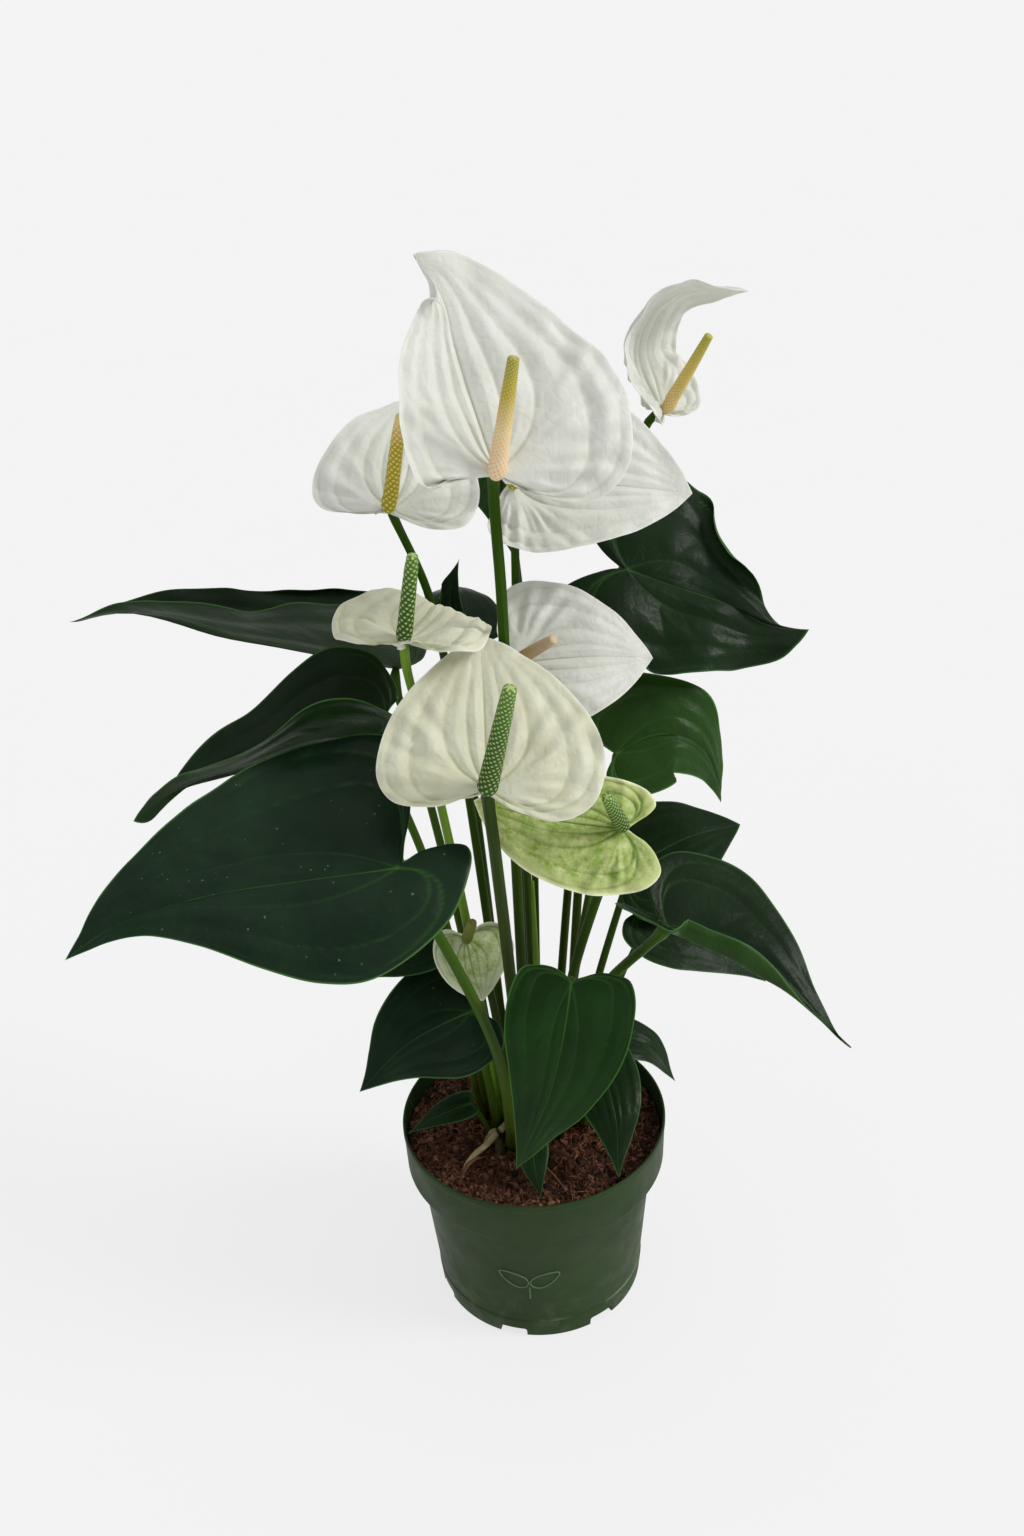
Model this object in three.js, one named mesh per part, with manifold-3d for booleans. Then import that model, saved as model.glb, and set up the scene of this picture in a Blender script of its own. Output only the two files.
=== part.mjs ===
// A potted white anthurium: nursery pot, potting mix, crown with aerial roots, nine flowers, and
// large and small heart-shaped leaves on stalks.
// Millimetres, +Z up. The origin is the middle of the pot's underside, and the plant's front faces -Y.
import * as THREE from "three";
import { ParametricGeometry } from "three/addons/geometries/ParametricGeometry.js";
import { mergeVertices } from "three/addons/utils/BufferGeometryUtils.js";
import Module from "manifold-3d";

const wasm = await Module();
wasm.setup();

// ---------------------------------------------------------------- driving sizes
const RIM_RADIUS = 85;
const POT_HEIGHT = 131;
const POT_WALL = 1.5;
const COLLAR_DEPTH = 31;
const COLLAR_DRAFT = 1.2;
const BODY_STEP = 7.5;
const BASE_RADIUS = 67;
const BASE_THICKNESS = 2.4;
const FOOT_BAND_HEIGHT = 14;
const FOOT_BAND_STEP = 0.6;
const POT_SEGMENTS = 56;

const NOTCH_COUNT = 7;
const NOTCH_WIDTH = 18;
const NOTCH_HEIGHT = 6.5;
const NOTCH_DEPTH = 9;
const NOTCH_TURN = -0.3;

const MIX_BELOW_RIM = 14;
const MIX_BUMP = 1.6;
const FIT_GAP = 0.35;

const CROWN_RADIUS = 38;
const CROWN_HEIGHT = 7;
const CROWN_CENTRE = [0, 10];

const LEAF_THICKNESS = 0.8;
const SPATHE_THICKNESS = 0.9;
const LEAF_RAYS = 24;
const SPATHE_RAYS = 20;
const STALK_SIDES = 8;
const STALK_STEPS = 7;
const SPADIX_SIDES = 10;
const SPADIX_STEPS = 6;
const ROOT_STEPS = 5;
const MIX_SEGMENTS = 40;
const CROWN_SEGMENTS = 28;
const CURL_STEPS = 6;

const JOINT_GAP = 0.4;
const ROUND_END_SHARE = 1.15;
const STALK_BOW = 0.12;
const ROOTED_TIP = 0.28;
const SPADIX_ARCH = 0.5;
const ROOT_ARCH = 2;

// The plan of the plant, further down, was laid out on a pot of this rim radius, with its mix at
// this height and a crown of this radius. Other pots carry the plan up or down, and in or out.
const PLAN_RIM_RADIUS = 85;
const PLAN_MIX_TOP = 117;
const PLAN_CROWN_RADIUS = 38;

const mixTop = POT_HEIGHT - MIX_BELOW_RIM;
const crownFoot = mixTop + MIX_BUMP + FIT_GAP;
const crownTop = crownFoot + CROWN_HEIGHT;
const planRise = mixTop - PLAN_MIX_TOP;

// ---------------------------------------------------------------- materials
function standard(color, roughness) {
  return new THREE.MeshStandardMaterial({ color, roughness, metalness: 0 });
}

const materials = {
  pot: standard(0x33492f, 0.55),
  mix: standard(0x3a2a22, 0.95),
  crown: standard(0x7d7a55, 0.8),
  darkLeaf: standard(0x17291c, 0.35),
  youngLeaf: standard(0x1f4a22, 0.35),
  leafStalk: standard(0x3f5a26, 0.5),
  whiteSpathe: standard(0xeef0ee, 0.45),
  creamSpathe: standard(0xecebdd, 0.45),
  greenSpathe: standard(0xb7c78a, 0.45),
  paleSpadix: standard(0xe0c79c, 0.6),
  greenSpadix: standard(0x4c7434, 0.6),
  flowerStalk: standard(0x3d6424, 0.5),
  sheath: standard(0x6f9440, 0.5),
};

// ---------------------------------------------------------------- helpers
const vec = (p) => new THREE.Vector3(p[0], p[1], p[2]);

// A point of the plan, carried up or down with the mix. Low leaves lie inside the rim, so `spread`
// carries them in or out with it.
function planPoint(p, spread = 1) {
  return new THREE.Vector3(p[0] * spread, p[1] * spread, p[2] + planRise);
}

const degrees = (angle) => THREE.MathUtils.degToRad(angle);

function mix(a, b, t) {
  return a + (b - a) * t;
}

// A closed geometry as a manifold-3d solid, and back.
function toSolid(geometry) {
  const bare = geometry.clone();
  bare.deleteAttribute("normal");
  bare.deleteAttribute("uv");
  const merged = mergeVertices(bare, 1e-3);
  return new wasm.Manifold(
    new wasm.Mesh({
      numProp: 3,
      vertProperties: merged.attributes.position.array,
      triVerts: new Uint32Array(merged.index.array),
    }),
  );
}

function toGeometry(solid) {
  const mesh = solid.getMesh();
  const geometry = new THREE.BufferGeometry();
  geometry.setAttribute("position", new THREE.BufferAttribute(mesh.vertProperties, mesh.numProp));
  geometry.setIndex(new THREE.BufferAttribute(mesh.triVerts, 1));
  geometry.computeVertexNormals();
  return geometry;
}

function joined(pieces) {
  return toGeometry(pieces.map(toSolid).reduce((all, next) => all.add(next)));
}

// ---------------------------------------------------------------- pot and mix
const bodyTopRadius = RIM_RADIUS - COLLAR_DRAFT - BODY_STEP;
const collarFoot = POT_HEIGHT - COLLAR_DEPTH;

function bodyRadiusAt(z) {
  return mix(BASE_RADIUS, bodyTopRadius, z / collarFoot);
}

function potGeometry() {
  const underCollar = collarFoot - 2 * POT_WALL;
  const outer = [
    [0, 0],
    [BASE_RADIUS + FOOT_BAND_STEP, 0],
    [bodyRadiusAt(FOOT_BAND_HEIGHT) + FOOT_BAND_STEP, FOOT_BAND_HEIGHT],
    [bodyRadiusAt(FOOT_BAND_HEIGHT + FOOT_BAND_STEP), FOOT_BAND_HEIGHT + FOOT_BAND_STEP],
    [bodyTopRadius, collarFoot],
    [RIM_RADIUS - COLLAR_DRAFT, collarFoot],
    [RIM_RADIUS, POT_HEIGHT - POT_WALL],
    [RIM_RADIUS - POT_WALL / 2, POT_HEIGHT],
  ];
  const inner = [
    [RIM_RADIUS - POT_WALL, POT_HEIGHT],
    [RIM_RADIUS - COLLAR_DRAFT - POT_WALL, collarFoot + POT_WALL],
    [bodyTopRadius - POT_WALL, collarFoot],
    [bodyRadiusAt(underCollar) - POT_WALL, underCollar],
    [BASE_RADIUS - POT_WALL, BASE_THICKNESS],
    [0, BASE_THICKNESS],
  ];
  const profile = [...outer, ...inner].map(([r, z]) => new THREE.Vector2(r, z));
  const shell = new THREE.LatheGeometry(profile, POT_SEGMENTS).rotateX(Math.PI / 2);
  let pot = toSolid(shell);
  for (let i = 0; i < NOTCH_COUNT; i += 1) {
    const turn = NOTCH_TURN + (i * 2 * Math.PI) / NOTCH_COUNT;
    const cutter = new THREE.BoxGeometry(NOTCH_WIDTH, 2 * NOTCH_DEPTH, 2 * NOTCH_HEIGHT)
      .translate(0, -BASE_RADIUS, 0)
      .rotateZ(turn);
    pot = pot.subtract(toSolid(cutter));
  }
  return toGeometry(pot);
}

function mixBump(x, y) {
  return MIX_BUMP * (0.5 * Math.sin(x / 9 + 1) * Math.cos(y / 11) + 0.5 * Math.sin((x - y) / 6));
}

function mixGeometry() {
  const clearance = POT_WALL + FIT_GAP;
  const foot = Math.max(BASE_THICKNESS, NOTCH_HEIGHT) + FIT_GAP;
  const neck = collarFoot - 2 * POT_WALL - FIT_GAP;
  const topRadius = RIM_RADIUS - COLLAR_DRAFT - clearance;
  const rows = [
    [0, foot],
    [bodyRadiusAt(foot) - clearance, foot],
    [bodyRadiusAt(neck) - clearance, neck],
    [bodyTopRadius - clearance, collarFoot + FIT_GAP],
    [topRadius, collarFoot + POT_WALL + FIT_GAP],
    [topRadius, mixTop],
    [topRadius * 0.8, mixTop],
    [topRadius * 0.6, mixTop],
    [topRadius * 0.4, mixTop],
    [topRadius * 0.2, mixTop],
    [0, mixTop],
  ];
  const firstTopRow = 6;
  const place = (u, v, target) => {
    const row = Math.round(v * (rows.length - 1));
    const [radius, level] = rows[row];
    const angle = 2 * Math.PI * u;
    const x = radius * Math.cos(angle);
    const y = radius * Math.sin(angle);
    target.set(x, y, row >= firstTopRow ? level + mixBump(x, y) : level);
  };
  return new ParametricGeometry(place, MIX_SEGMENTS, rows.length - 1);
}

// ---------------------------------------------------------------- tubes
// A closed tapered tube through the given points, with a pole at each end.
// radiusAt(t) gives its radius along the way, and flat squashes it across `side`.
function tubeGeometry(points, radiusAt, sides, steps) {
  const curve = new THREE.CatmullRomCurve3(points, false, "centripetal");
  const chord = points[points.length - 1].clone().sub(points[0]);
  const steady = Math.abs(chord.y) < Math.abs(chord.x) ? [0, 1, 0] : [1, 0, 0];
  const place = (u, v, target) => {
    const row = Math.round(v * (steps + 2));
    const t = THREE.MathUtils.clamp((row - 1) / steps, 0, 1);
    const centre = curve.getPointAt(t);
    const along = curve.getTangentAt(t);
    const across = vec(steady).addScaledVector(along, -vec(steady).dot(along)).normalize();
    const over = along.clone().cross(across);
    const radius = row === 0 || row === steps + 2 ? 0 : radiusAt(t);
    const angle = 2 * Math.PI * u;
    target
      .copy(centre)
      .addScaledVector(across, radius * Math.cos(angle))
      .addScaledVector(over, radius * Math.sin(angle));
  };
  return new ParametricGeometry(place, sides, steps + 2);
}

// ---------------------------------------------------------------- blades
// Half outlines from the sinus, where the stalk meets the blade, round a lobe to the tip.
// The first number is along the midrib as a share of its length (behind the sinus: of lobe depth),
// and the second is across it as a share of the half width.
const OUTLINES = {
  leaf: [
    [-0.08, 0],
    [-0.62, 0.2],
    [-1, 0.46],
    [-0.72, 0.8],
    [0.06, 0.99],
    [0.26, 0.97],
    [0.46, 0.78],
    [0.66, 0.5],
    [0.83, 0.22],
    [0.93, 0.08],
    [1, 0],
  ],
  spathe: [
    [-0.08, 0],
    [-0.62, 0.22],
    [-1, 0.55],
    [-0.6, 0.86],
    [0.1, 1],
    [0.32, 0.96],
    [0.54, 0.8],
    [0.74, 0.55],
    [0.89, 0.28],
    [0.96, 0.11],
    [1, 0],
  ],
};
const RINGS = [0, 0.28, 0.56, 0.8, 1];

function outlinePoint(blade, u) {
  const outline = OUTLINES[blade.outline];
  const half = 2 * Math.abs(u - 0.5);
  const index = (1 - half) * (outline.length - 1);
  const low = Math.min(Math.floor(index), outline.length - 2);
  const side = u < 0.5 ? 0 : 1;
  const share = mix(outline[low][0], outline[low + 1][0], index - low);
  const across = mix(outline[low][1], outline[low + 1][1], index - low);
  const width = blade.wide[side] * across ** (share > 0 ? 1 + blade.pinch[side] : 1);
  const x = share < 0 ? share * blade.lobe[side] : share * blade.length;
  return [x, (side === 0 ? width : -width) + blade.lean * Math.min(x, 0)];
}

// Blade settings: rib = points along the midrib from the sinus to the tip; face = the way the
// upper face looks at the sinus and at the tip; wide, fold, curl = [left, right] half width in mm,
// angle of each half to the midrib's plane and the further turn towards its margin in degrees;
// lobe = [left, right] depth of the lobes behind the sinus, and lean shifts them sideways;
// pinch = [left, right], above 0 for a half that narrows sooner; wave = [height, count] of the
// margin's waves; low marks a leaf that lies inside the pot's rim.
const PLAIN = { outline: "leaf", curl: [0, 0], lean: 0, pinch: [0, 0], wave: [0, 3] };

function bladeShape(settings) {
  const blade = { ...PLAIN, ...settings };
  const spread = blade.low ? RIM_RADIUS / PLAN_RIM_RADIUS : 1;
  const onPlan = (p) => planPoint(p, spread);
  const curve = new THREE.CatmullRomCurve3(blade.rib.map(onPlan), false, "centripetal");
  blade.length = curve.getLength();
  const faces = blade.face.map((f) => vec(f).normalize());

  // The middle surface's point at x along and y across (left is positive) the flat blade.
  const middle = (x, signedY, edge) => {
    const half = signedY >= 0 ? 0 : 1;
    const y = Math.abs(signedY);
    const t = THREE.MathUtils.clamp(x / blade.length, 0, 1);
    const along = curve.getTangentAt(t);
    const face = faces[0].clone().lerp(faces[faces.length - 1], t);
    face.addScaledVector(along, -face.dot(along)).normalize();
    const across = face.clone().cross(along);
    const turn = degrees(blade.fold[half]);
    const bend = degrees(blade.curl[half]);
    const reach = blade.wide[half];
    let out = 0;
    let up = 0;
    for (let i = 0; i < CURL_STEPS; i += 1) {
      const angle = turn + (bend * ((i + 0.5) / CURL_STEPS) * y) / reach;
      out += (Math.cos(angle) * y) / CURL_STEPS;
      up += (Math.sin(angle) * y) / CURL_STEPS;
    }
    const [height, count] = blade.wave;
    up += height * edge * edge * Math.sin(count * Math.PI * (x / blade.length) + half * 1.3);
    return curve
      .getPointAt(t)
      .addScaledVector(along, Math.min(x, 0))
      .addScaledVector(across, half === 0 ? out : -out)
      .addScaledVector(face, up);
  };

  // The same point by ray u and ring share v.
  blade.at = (u, v) => {
    const [x, y] = outlinePoint(blade, u);
    return middle(x * v, y * v, v);
  };
  blade.base = curve.getPointAt(0);
  const start = curve.getTangentAt(0);
  blade.normal = faces[0].clone().addScaledVector(start, -faces[0].dot(start)).normalize();
  return blade;
}

// Cuts each four-sided patch below the middle row along the same corners as the patch above it,
// so that the two faces of a thin blade stay a thickness apart where it twists.
function matchFaces(geometry, rays, rows) {
  const index = geometry.index.array;
  const corners = rays + 1;
  for (let row = rows / 2; row < rows; row += 1) {
    for (let ray = 0; ray < rays; ray += 1) {
      const a = row * corners + ray;
      const c = (row + 1) * corners + ray + 1;
      index.set([a, a + 1, c, a, c, c - 1], 6 * (row * rays + ray));
    }
  }
  return geometry;
}

// Both faces of the blade, meeting at the margin.
function bladeGeometry(blade, thickness, rays) {
  const last = RINGS.length - 1;
  const normalAt = (u, v) => {
    const step = 0.01;
    const w = Math.min(Math.max(v, 0.04), 1 - step);
    const rayWay = blade.at(u, w + step).sub(blade.at(u, w - step));
    const ringWay = blade.at((u + step) % 1, w).sub(blade.at((u + 1 - step) % 1, w));
    return ringWay.cross(rayWay).normalize();
  };
  const place = (u, v, target) => {
    const row = Math.round(v * 2 * last);
    const top = row <= last;
    const ring = RINGS[top ? row : 2 * last - row];
    const turn = ((u % 1) + 1) % 1;
    target.copy(ring === 0 ? blade.base : blade.at(turn, ring));
    if (ring === 1) return;
    const normal = ring === 0 ? blade.normal : normalAt(turn, ring);
    target.addScaledVector(normal, ((top ? 1 : -1) * thickness) / 2);
  };
  return matchFaces(new ParametricGeometry(place, rays, 2 * last), rays, 2 * last);
}

// ---------------------------------------------------------------- stalks
// How far a round end of this radius that comes in along `way` stays from the blade's middle
// surface, more where the blade folds towards it.
function baseClearance(way, normal, radius, thickness, fold) {
  const slant = Math.sqrt(Math.max(0, 1 - way.dot(normal) ** 2));
  return thickness / 2 + JOINT_GAP + radius * (ROUND_END_SHARE * slant + fold);
}

// A stalk from its foot on the crown to the underside of a blade's sinus. `by` are points that it
// passes on the way. A rooted stalk runs thin into the middle of the blade, to be joined to it.
function stalkGeometry(blade, thickness, stalk, rooted = false) {
  const inOut = CROWN_RADIUS / PLAN_CROWN_RADIUS;
  const foot = new THREE.Vector3(
    mix(CROWN_CENTRE[0], stalk.foot[0], inOut),
    mix(CROWN_CENTRE[1], stalk.foot[1], inOut),
    crownTop + FIT_GAP,
  );
  const goal = blade.base.clone();
  const via = (stalk.by ?? []).map((p) => planPoint(p));
  const start = (via.length ? via[0] : goal).clone().sub(foot).normalize();
  foot.z += stalk.radius[0] * Math.hypot(start.x, start.y);
  const way = goal.clone().sub(via.length ? via[via.length - 1] : foot).normalize();
  const droop = Math.sin(degrees(Math.max(0, -blade.fold[0], -blade.fold[1])));
  const clear = rooted ? 0 : baseClearance(way, blade.normal, stalk.radius[1], thickness, droop);
  const end = goal.addScaledVector(blade.normal, -clear);
  if (!via.length) {
    const middle = foot.clone().lerp(end, 0.5);
    middle.x = mix(middle.x, foot.x, STALK_BOW);
    middle.y = mix(middle.y, foot.y, STALK_BOW);
    via.push(middle);
  }
  const radiusAt = (t) => (rooted && t === 1 ? ROOTED_TIP : mix(stalk.radius[0], stalk.radius[1], t));
  return tubeGeometry([foot, ...via, end], radiusAt, STALK_SIDES, STALK_STEPS);
}

function spadixGeometry(blade, spadix) {
  const tip = planPoint(spadix.tip);
  const way = tip.clone().sub(blade.base).normalize();
  const rise = Math.sin(degrees(Math.max(0, blade.fold[0], blade.fold[1])));
  const clear = baseClearance(way, blade.normal, spadix.radius[0], SPATHE_THICKNESS, rise);
  const foot = blade.base.clone().addScaledVector(blade.normal, clear);
  const middle = foot.clone().lerp(tip, 0.5).addScaledVector(blade.normal, SPADIX_ARCH);
  const rounding = (t) => Math.sqrt(1 - 0.7 * Math.max(0, 5 * t - 4) ** 2);
  const radiusAt = (t) => mix(spadix.radius[0], spadix.radius[1], t) * rounding(t);
  return tubeGeometry([foot, middle, tip], radiusAt, SPADIX_SIDES, SPADIX_STEPS);
}

// ---------------------------------------------------------------- the plant's plan
const FLOWERS = [
  {
    rib: [[-3, -45, 572], [-18, -22, 618], [-27, 0, 650], [-38.5, 8, 665]],
    face: [[0.1, -0.8, 0.58], [0.3, -0.8, 0.4]],
    wide: [44, 73],
    fold: [12, 2],
    curl: [18, 2],
    lobe: [-3, 28],
    pinch: [0.9, 0],
    spadix: { tip: [8, -62, 631], radius: [4.6, 2.6] },
    stalk: { foot: [-3, 0], by: [[-3, -34, 400]], radius: [3.1, 2.8] },
    look: ["whiteSpathe", "paleSpadix"],
  },
  {
    rib: [[-60, 20, 534], [-55, 44, 557], [-45, 78, 578]],
    face: [[-0.1, -0.62, 0.77], [0, -0.7, 0.7]],
    wide: [43, 46],
    fold: [4, -8],
    curl: [6, 0],
    lobe: [4, 9],
    spadix: { tip: [-49, -3, 591], radius: [3.9, 2.8] },
    stalk: { foot: [-12, 16], by: [[-43, 42, 468]], radius: [2.9, 2.3] },
    look: ["whiteSpathe", "paleSpadix"],
  },
  {
    rib: [[6, 38, 538], [55, 36, 536], [103, 40, 528]],
    face: [[0.05, -0.75, 0.65], [0.1, -0.8, 0.6]],
    wide: [60, 40],
    fold: [6, 6],
    curl: [0, 6],
    lobe: [14, 14],
    spadix: { tip: [21, 10, 571], radius: [3.8, 2.6] },
    stalk: { foot: [-3, 28], radius: [2.9, 2.3] },
    look: ["whiteSpathe", "paleSpadix"],
  },
  {
    rib: [[93, 105, 556], [77, 118, 589], [99, 117, 621], [141, 105, 620]],
    face: [[0.85, -0.5, 0.1], [0.35, -0.5, -0.8]],
    wide: [34, 36],
    fold: [12, 12],
    curl: [20, 20],
    lobe: [8, 8],
    spadix: { tip: [117, 83, 603], radius: [3.9, 2.3] },
    stalk: { foot: [14, 38], by: [[48, 96, 380], [84, 124, 500]], radius: [2.9, 2.3] },
    look: ["whiteSpathe", "paleSpadix"],
  },
  {
    rib: [[-54, -45, 485], [-43, -8, 486], [-33, 26, 468]],
    face: [[0.05, -0.1, 1], [0, 0.2, 1]],
    wide: [42, 41],
    fold: [14, 8],
    curl: [-18, -10],
    lobe: [10, 10],
    wave: [2, 3],
    spadix: { tip: [-45, -59, 538], radius: [4, 3] },
    stalk: { foot: [-20, 3], radius: [2.9, 2.3] },
    look: ["creamSpathe", "greenSpadix"],
  },
  {
    rib: [[2, 2, 449], [41, 0, 452], [78, 7, 446]],
    face: [[0.1, -0.75, 0.65], [0.15, -0.75, 0.6]],
    wide: [46, 41],
    fold: [2, 4],
    curl: [-6, 0],
    lobe: [8, 8],
    spadix: { tip: [23, -28, 476], radius: [3.6, 2.8] },
    stalk: { foot: [4, 8], radius: [2.9, 2.3] },
    look: ["whiteSpathe", "paleSpadix"],
  },
  {
    rib: [[-15, -95, 426], [-15, -68, 456], [-15, -40, 486]],
    face: [[0.05, -0.72, 0.69], [0, -0.6, 0.8]],
    wide: [55, 60],
    fold: [4, 2],
    curl: [-8, -6],
    lobe: [8, 18],
    spadix: { tip: [-1, -125, 496], radius: [5.2, 3.4] },
    stalk: { foot: [-5, -17], radius: [3.6, 3.2] },
    look: ["creamSpathe", "greenSpadix"],
  },
  {
    rib: [[54, -60, 378], [14, -60, 386], [-24, -50, 394]],
    face: [[0.05, -0.6, 0.79], [0.1, -0.7, 0.7]],
    wide: [37, 27],
    fold: [-8, 12],
    curl: [-12, 6],
    lobe: [24, 18],
    spadix: { tip: [45, -84, 412], radius: [4.2, 3] },
    stalk: { foot: [15, -12], by: [[24, -34, 250]], radius: [3.1, 2.7] },
    look: ["greenSpathe", "greenSpadix"],
  },
  {
    rib: [[-34, -28, 288], [-31, -43, 276], [-26, -50, 260]],
    face: [[0.05, -0.75, 0.65], [0.1, -0.95, 0.3]],
    wide: [27, 21],
    fold: [-4, -4],
    curl: [-14, -14],
    lobe: [9, 9],
    spadix: { tip: [-29, -43, 311], radius: [3.2, 2.6] },
    stalk: { foot: [-13, -8], by: [[-24, -12, 245]], radius: [2.6, 2.3] },
    look: ["greenSpathe", "greenSpadix"],
  },
];

const LEAVES = [
  {
    rib: [[-67, 45, 430], [-145, 45, 450], [-207, 38, 472], [-244, 28, 477]],
    face: [[0.05, -0.1, 1], [0, -0.2, 1]],
    wide: [56, 46],
    fold: [60, 26],
    curl: [4, 8],
    lobe: [16, 14],
    wave: [3, 3],
    stalk: { foot: [-24, 26], radius: [3, 2.3] },
  },
  {
    rib: [[-78, -16, 418], [-140, -31, 413], [-207, -49, 391]],
    face: [[0, -0.1, 1], [-0.1, -0.1, 1]],
    wide: [38, 50],
    fold: [64, 44],
    curl: [-6, 6],
    lobe: [16, 22],
    pinch: [0, 0.8],
    wave: [7, 3],
    stalk: { foot: [-29, 12], by: [[-52, 8, 300]], radius: [3, 2.3] },
  },
  {
    rib: [[-63, -95, 382], [-136, -105, 380], [-190, -115, 376], [-232, -125, 356]],
    face: [[-0.1, -0.5, 0.86], [-0.1, -0.45, 0.9]],
    wide: [56, 81],
    fold: [-6, 6],
    curl: [-20, -2],
    lobe: [42, 14],
    lean: 0.8,
    pinch: [0.5, -0.1],
    wave: [2, 4],
    stalk: { foot: [-14, -23], by: [[-20, -73, 244], [-41, -86, 320]], radius: [3.4, 2.8] },
  },
  {
    rib: [[-34, -48, 251], [-69, -60, 241], [-100, -76, 219]],
    face: [[-0.1, -0.6, 0.78], [-0.2, -0.6, 0.7]],
    wide: [34, 40],
    fold: [-22, 0],
    curl: [-14, -6],
    lobe: [14, 14],
    stalk: { foot: [-24, -5], radius: [2.6, 2.2] },
  },
  {
    rib: [[24, -82, 294], [12, -102, 242], [-12, -108, 183]],
    face: [[0.1, -0.85, 0.5], [0.1, -0.98, 0.15]],
    wide: [39, 34],
    fold: [0, 4],
    curl: [-8, -6],
    lobe: [9, 9],
    look: "youngLeaf",
    stalk: { foot: [5, -18], by: [[14, -50, 240]], radius: [2.8, 2.3] },
  },
  {
    rib: [[78, -70, 320], [128, -88, 298], [174, -110, 263]],
    face: [[0.15, -0.45, 0.88], [0.2, -0.4, 0.9]],
    wide: [52, 30],
    fold: [8, 46],
    curl: [-4, 16],
    lobe: [24, 34],
    pinch: [0.6, 0.2],
    stalk: { foot: [26, 5], by: [[40, -2, 215]], radius: [3.3, 2.8] },
  },
  {
    rib: [[66, 22, 300], [102, 34, 312], [136, 46, 312]],
    face: [[0, -0.45, 0.9], [0.1, -0.4, 0.9]],
    wide: [38, 42],
    fold: [6, 0],
    curl: [-8, -10],
    lobe: [16, 16],
    pinch: [-0.2, -0.2],
    stalk: { foot: [24, 15], radius: [2.7, 2.2] },
  },
  {
    rib: [[58, 10, 386], [92, 14, 396], [112, 18, 376], [120, 24, 342]],
    face: [[0, -0.75, 0.65], [0.6, -0.7, 0.3]],
    wide: [40, 30],
    fold: [4, 0],
    curl: [-6, -6],
    lobe: [12, 12],
    pinch: [0.7, 0],
    look: "youngLeaf",
    stalk: { foot: [14, 5], radius: [2.7, 2.2] },
  },
  {
    rib: [[68, 50, 482], [124, 44, 460], [150, 40, 448], [170, 36, 446]],
    face: [[0.2, -0.7, 0.68], [0.2, -0.8, 0.5]],
    wide: [72, 56],
    fold: [0, 2],
    curl: [-16, -12],
    lobe: [40, 36],
    pinch: [1.1, -0.4],
    wave: [5, 4],
    stalk: { foot: [23, 27], by: [[42, 46, 340]], radius: [3.1, 2.4] },
  },
];

// Leaves whose blade and stalk are one solid: small ones low down and those at the back.
const WHOLE_LEAVES = [
  {
    low: true,
    rib: [[42, -5, 178], [50, -38, 162], [50, -64, 132]],
    face: [[0, -0.5, 0.85], [0, -0.8, 0.6]],
    wide: [22, 25],
    fold: [-4, 0],
    curl: [-10, -10],
    lobe: [10, 10],
    stalk: { foot: [33, -4], radius: [2, 1.7] },
  },
  {
    rib: [[-33, 60, 442], [-33, 62, 466], [-27, 62, 488]],
    face: [[-0.3, -0.8, 0.2], [-0.5, -0.8, 0.3]],
    wide: [12, 12],
    fold: [20, 20],
    curl: [0, 0],
    lobe: [6, 6],
    stalk: { foot: [-15, 34], radius: [2.4, 1.9] },
  },
  {
    rib: [[-30, 88, 436], [-33, 116, 446], [-37, 150, 438]],
    face: [[0, -0.2, 1], [0, 0.2, 1]],
    wide: [28, 28],
    fold: [-4, -4],
    curl: [-14, -14],
    lobe: [12, 12],
    stalk: { foot: [-5, 39], radius: [2.4, 1.9] },
  },
  {
    rib: [[2, 78, 530], [4, 92, 505], [5, 96, 474]],
    face: [[0, -0.8, 0.5], [0, -1, 0.2]],
    wide: [22, 20],
    fold: [4, 4],
    curl: [-6, -6],
    lobe: [8, 8],
    stalk: { foot: [5, 44], by: [[10, 98, 400]], radius: [2.4, 1.9] },
  },
  {
    rib: [[-54, -16, 290], [-72, -22, 278], [-94, -26, 262]],
    face: [[-0.2, -0.55, 0.8], [-0.2, -0.55, 0.8]],
    wide: [22, 22],
    fold: [0, 0],
    curl: [-10, -6],
    lobe: [7, 7],
    stalk: { foot: [-34, 5], radius: [2.3, 1.9] },
  },
  {
    low: true,
    rib: [[-40, -14, 152], [-60, -19, 148], [-81, -21, 136]],
    face: [[-0.1, -0.5, 0.86], [-0.2, -0.4, 0.9]],
    wide: [9, 10],
    fold: [4, 4],
    curl: [-8, -8],
    lobe: [4, 4],
    stalk: { foot: [-28, -13], radius: [1.3, 1.1] },
  },
  {
    low: true,
    rib: [[-2, -42, 144], [-1, -56, 136], [2, -68, 122]],
    face: [[0, -0.6, 0.8], [0, -0.8, 0.6]],
    wide: [10, 10],
    fold: [0, 0],
    curl: [-6, -6],
    lobe: [4, 4],
    stalk: { foot: [-5, -26], radius: [1.3, 1.1] },
  },
  {
    low: true,
    rib: [[54, 18, 176], [76, 18, 166], [94, 16, 136]],
    face: [[0.2, -0.3, 0.93], [0.6, -0.3, 0.7]],
    wide: [15, 16],
    fold: [8, 8],
    curl: [-6, -10],
    lobe: [8, 8],
    stalk: { foot: [33, 17], radius: [1.6, 1.3] },
  },
  {
    rib: [[78, 8, 278], [112, 0, 262], [146, -8, 232]],
    face: [[0.3, -0.4, 0.88], [0.4, -0.4, 0.8]],
    wide: [34, 34],
    fold: [0, 0],
    curl: [-10, -10],
    lobe: [14, 14],
    stalk: { foot: [34, 7], by: [[54, 8, 215]], radius: [1.9, 1.6] },
  },
];

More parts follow.
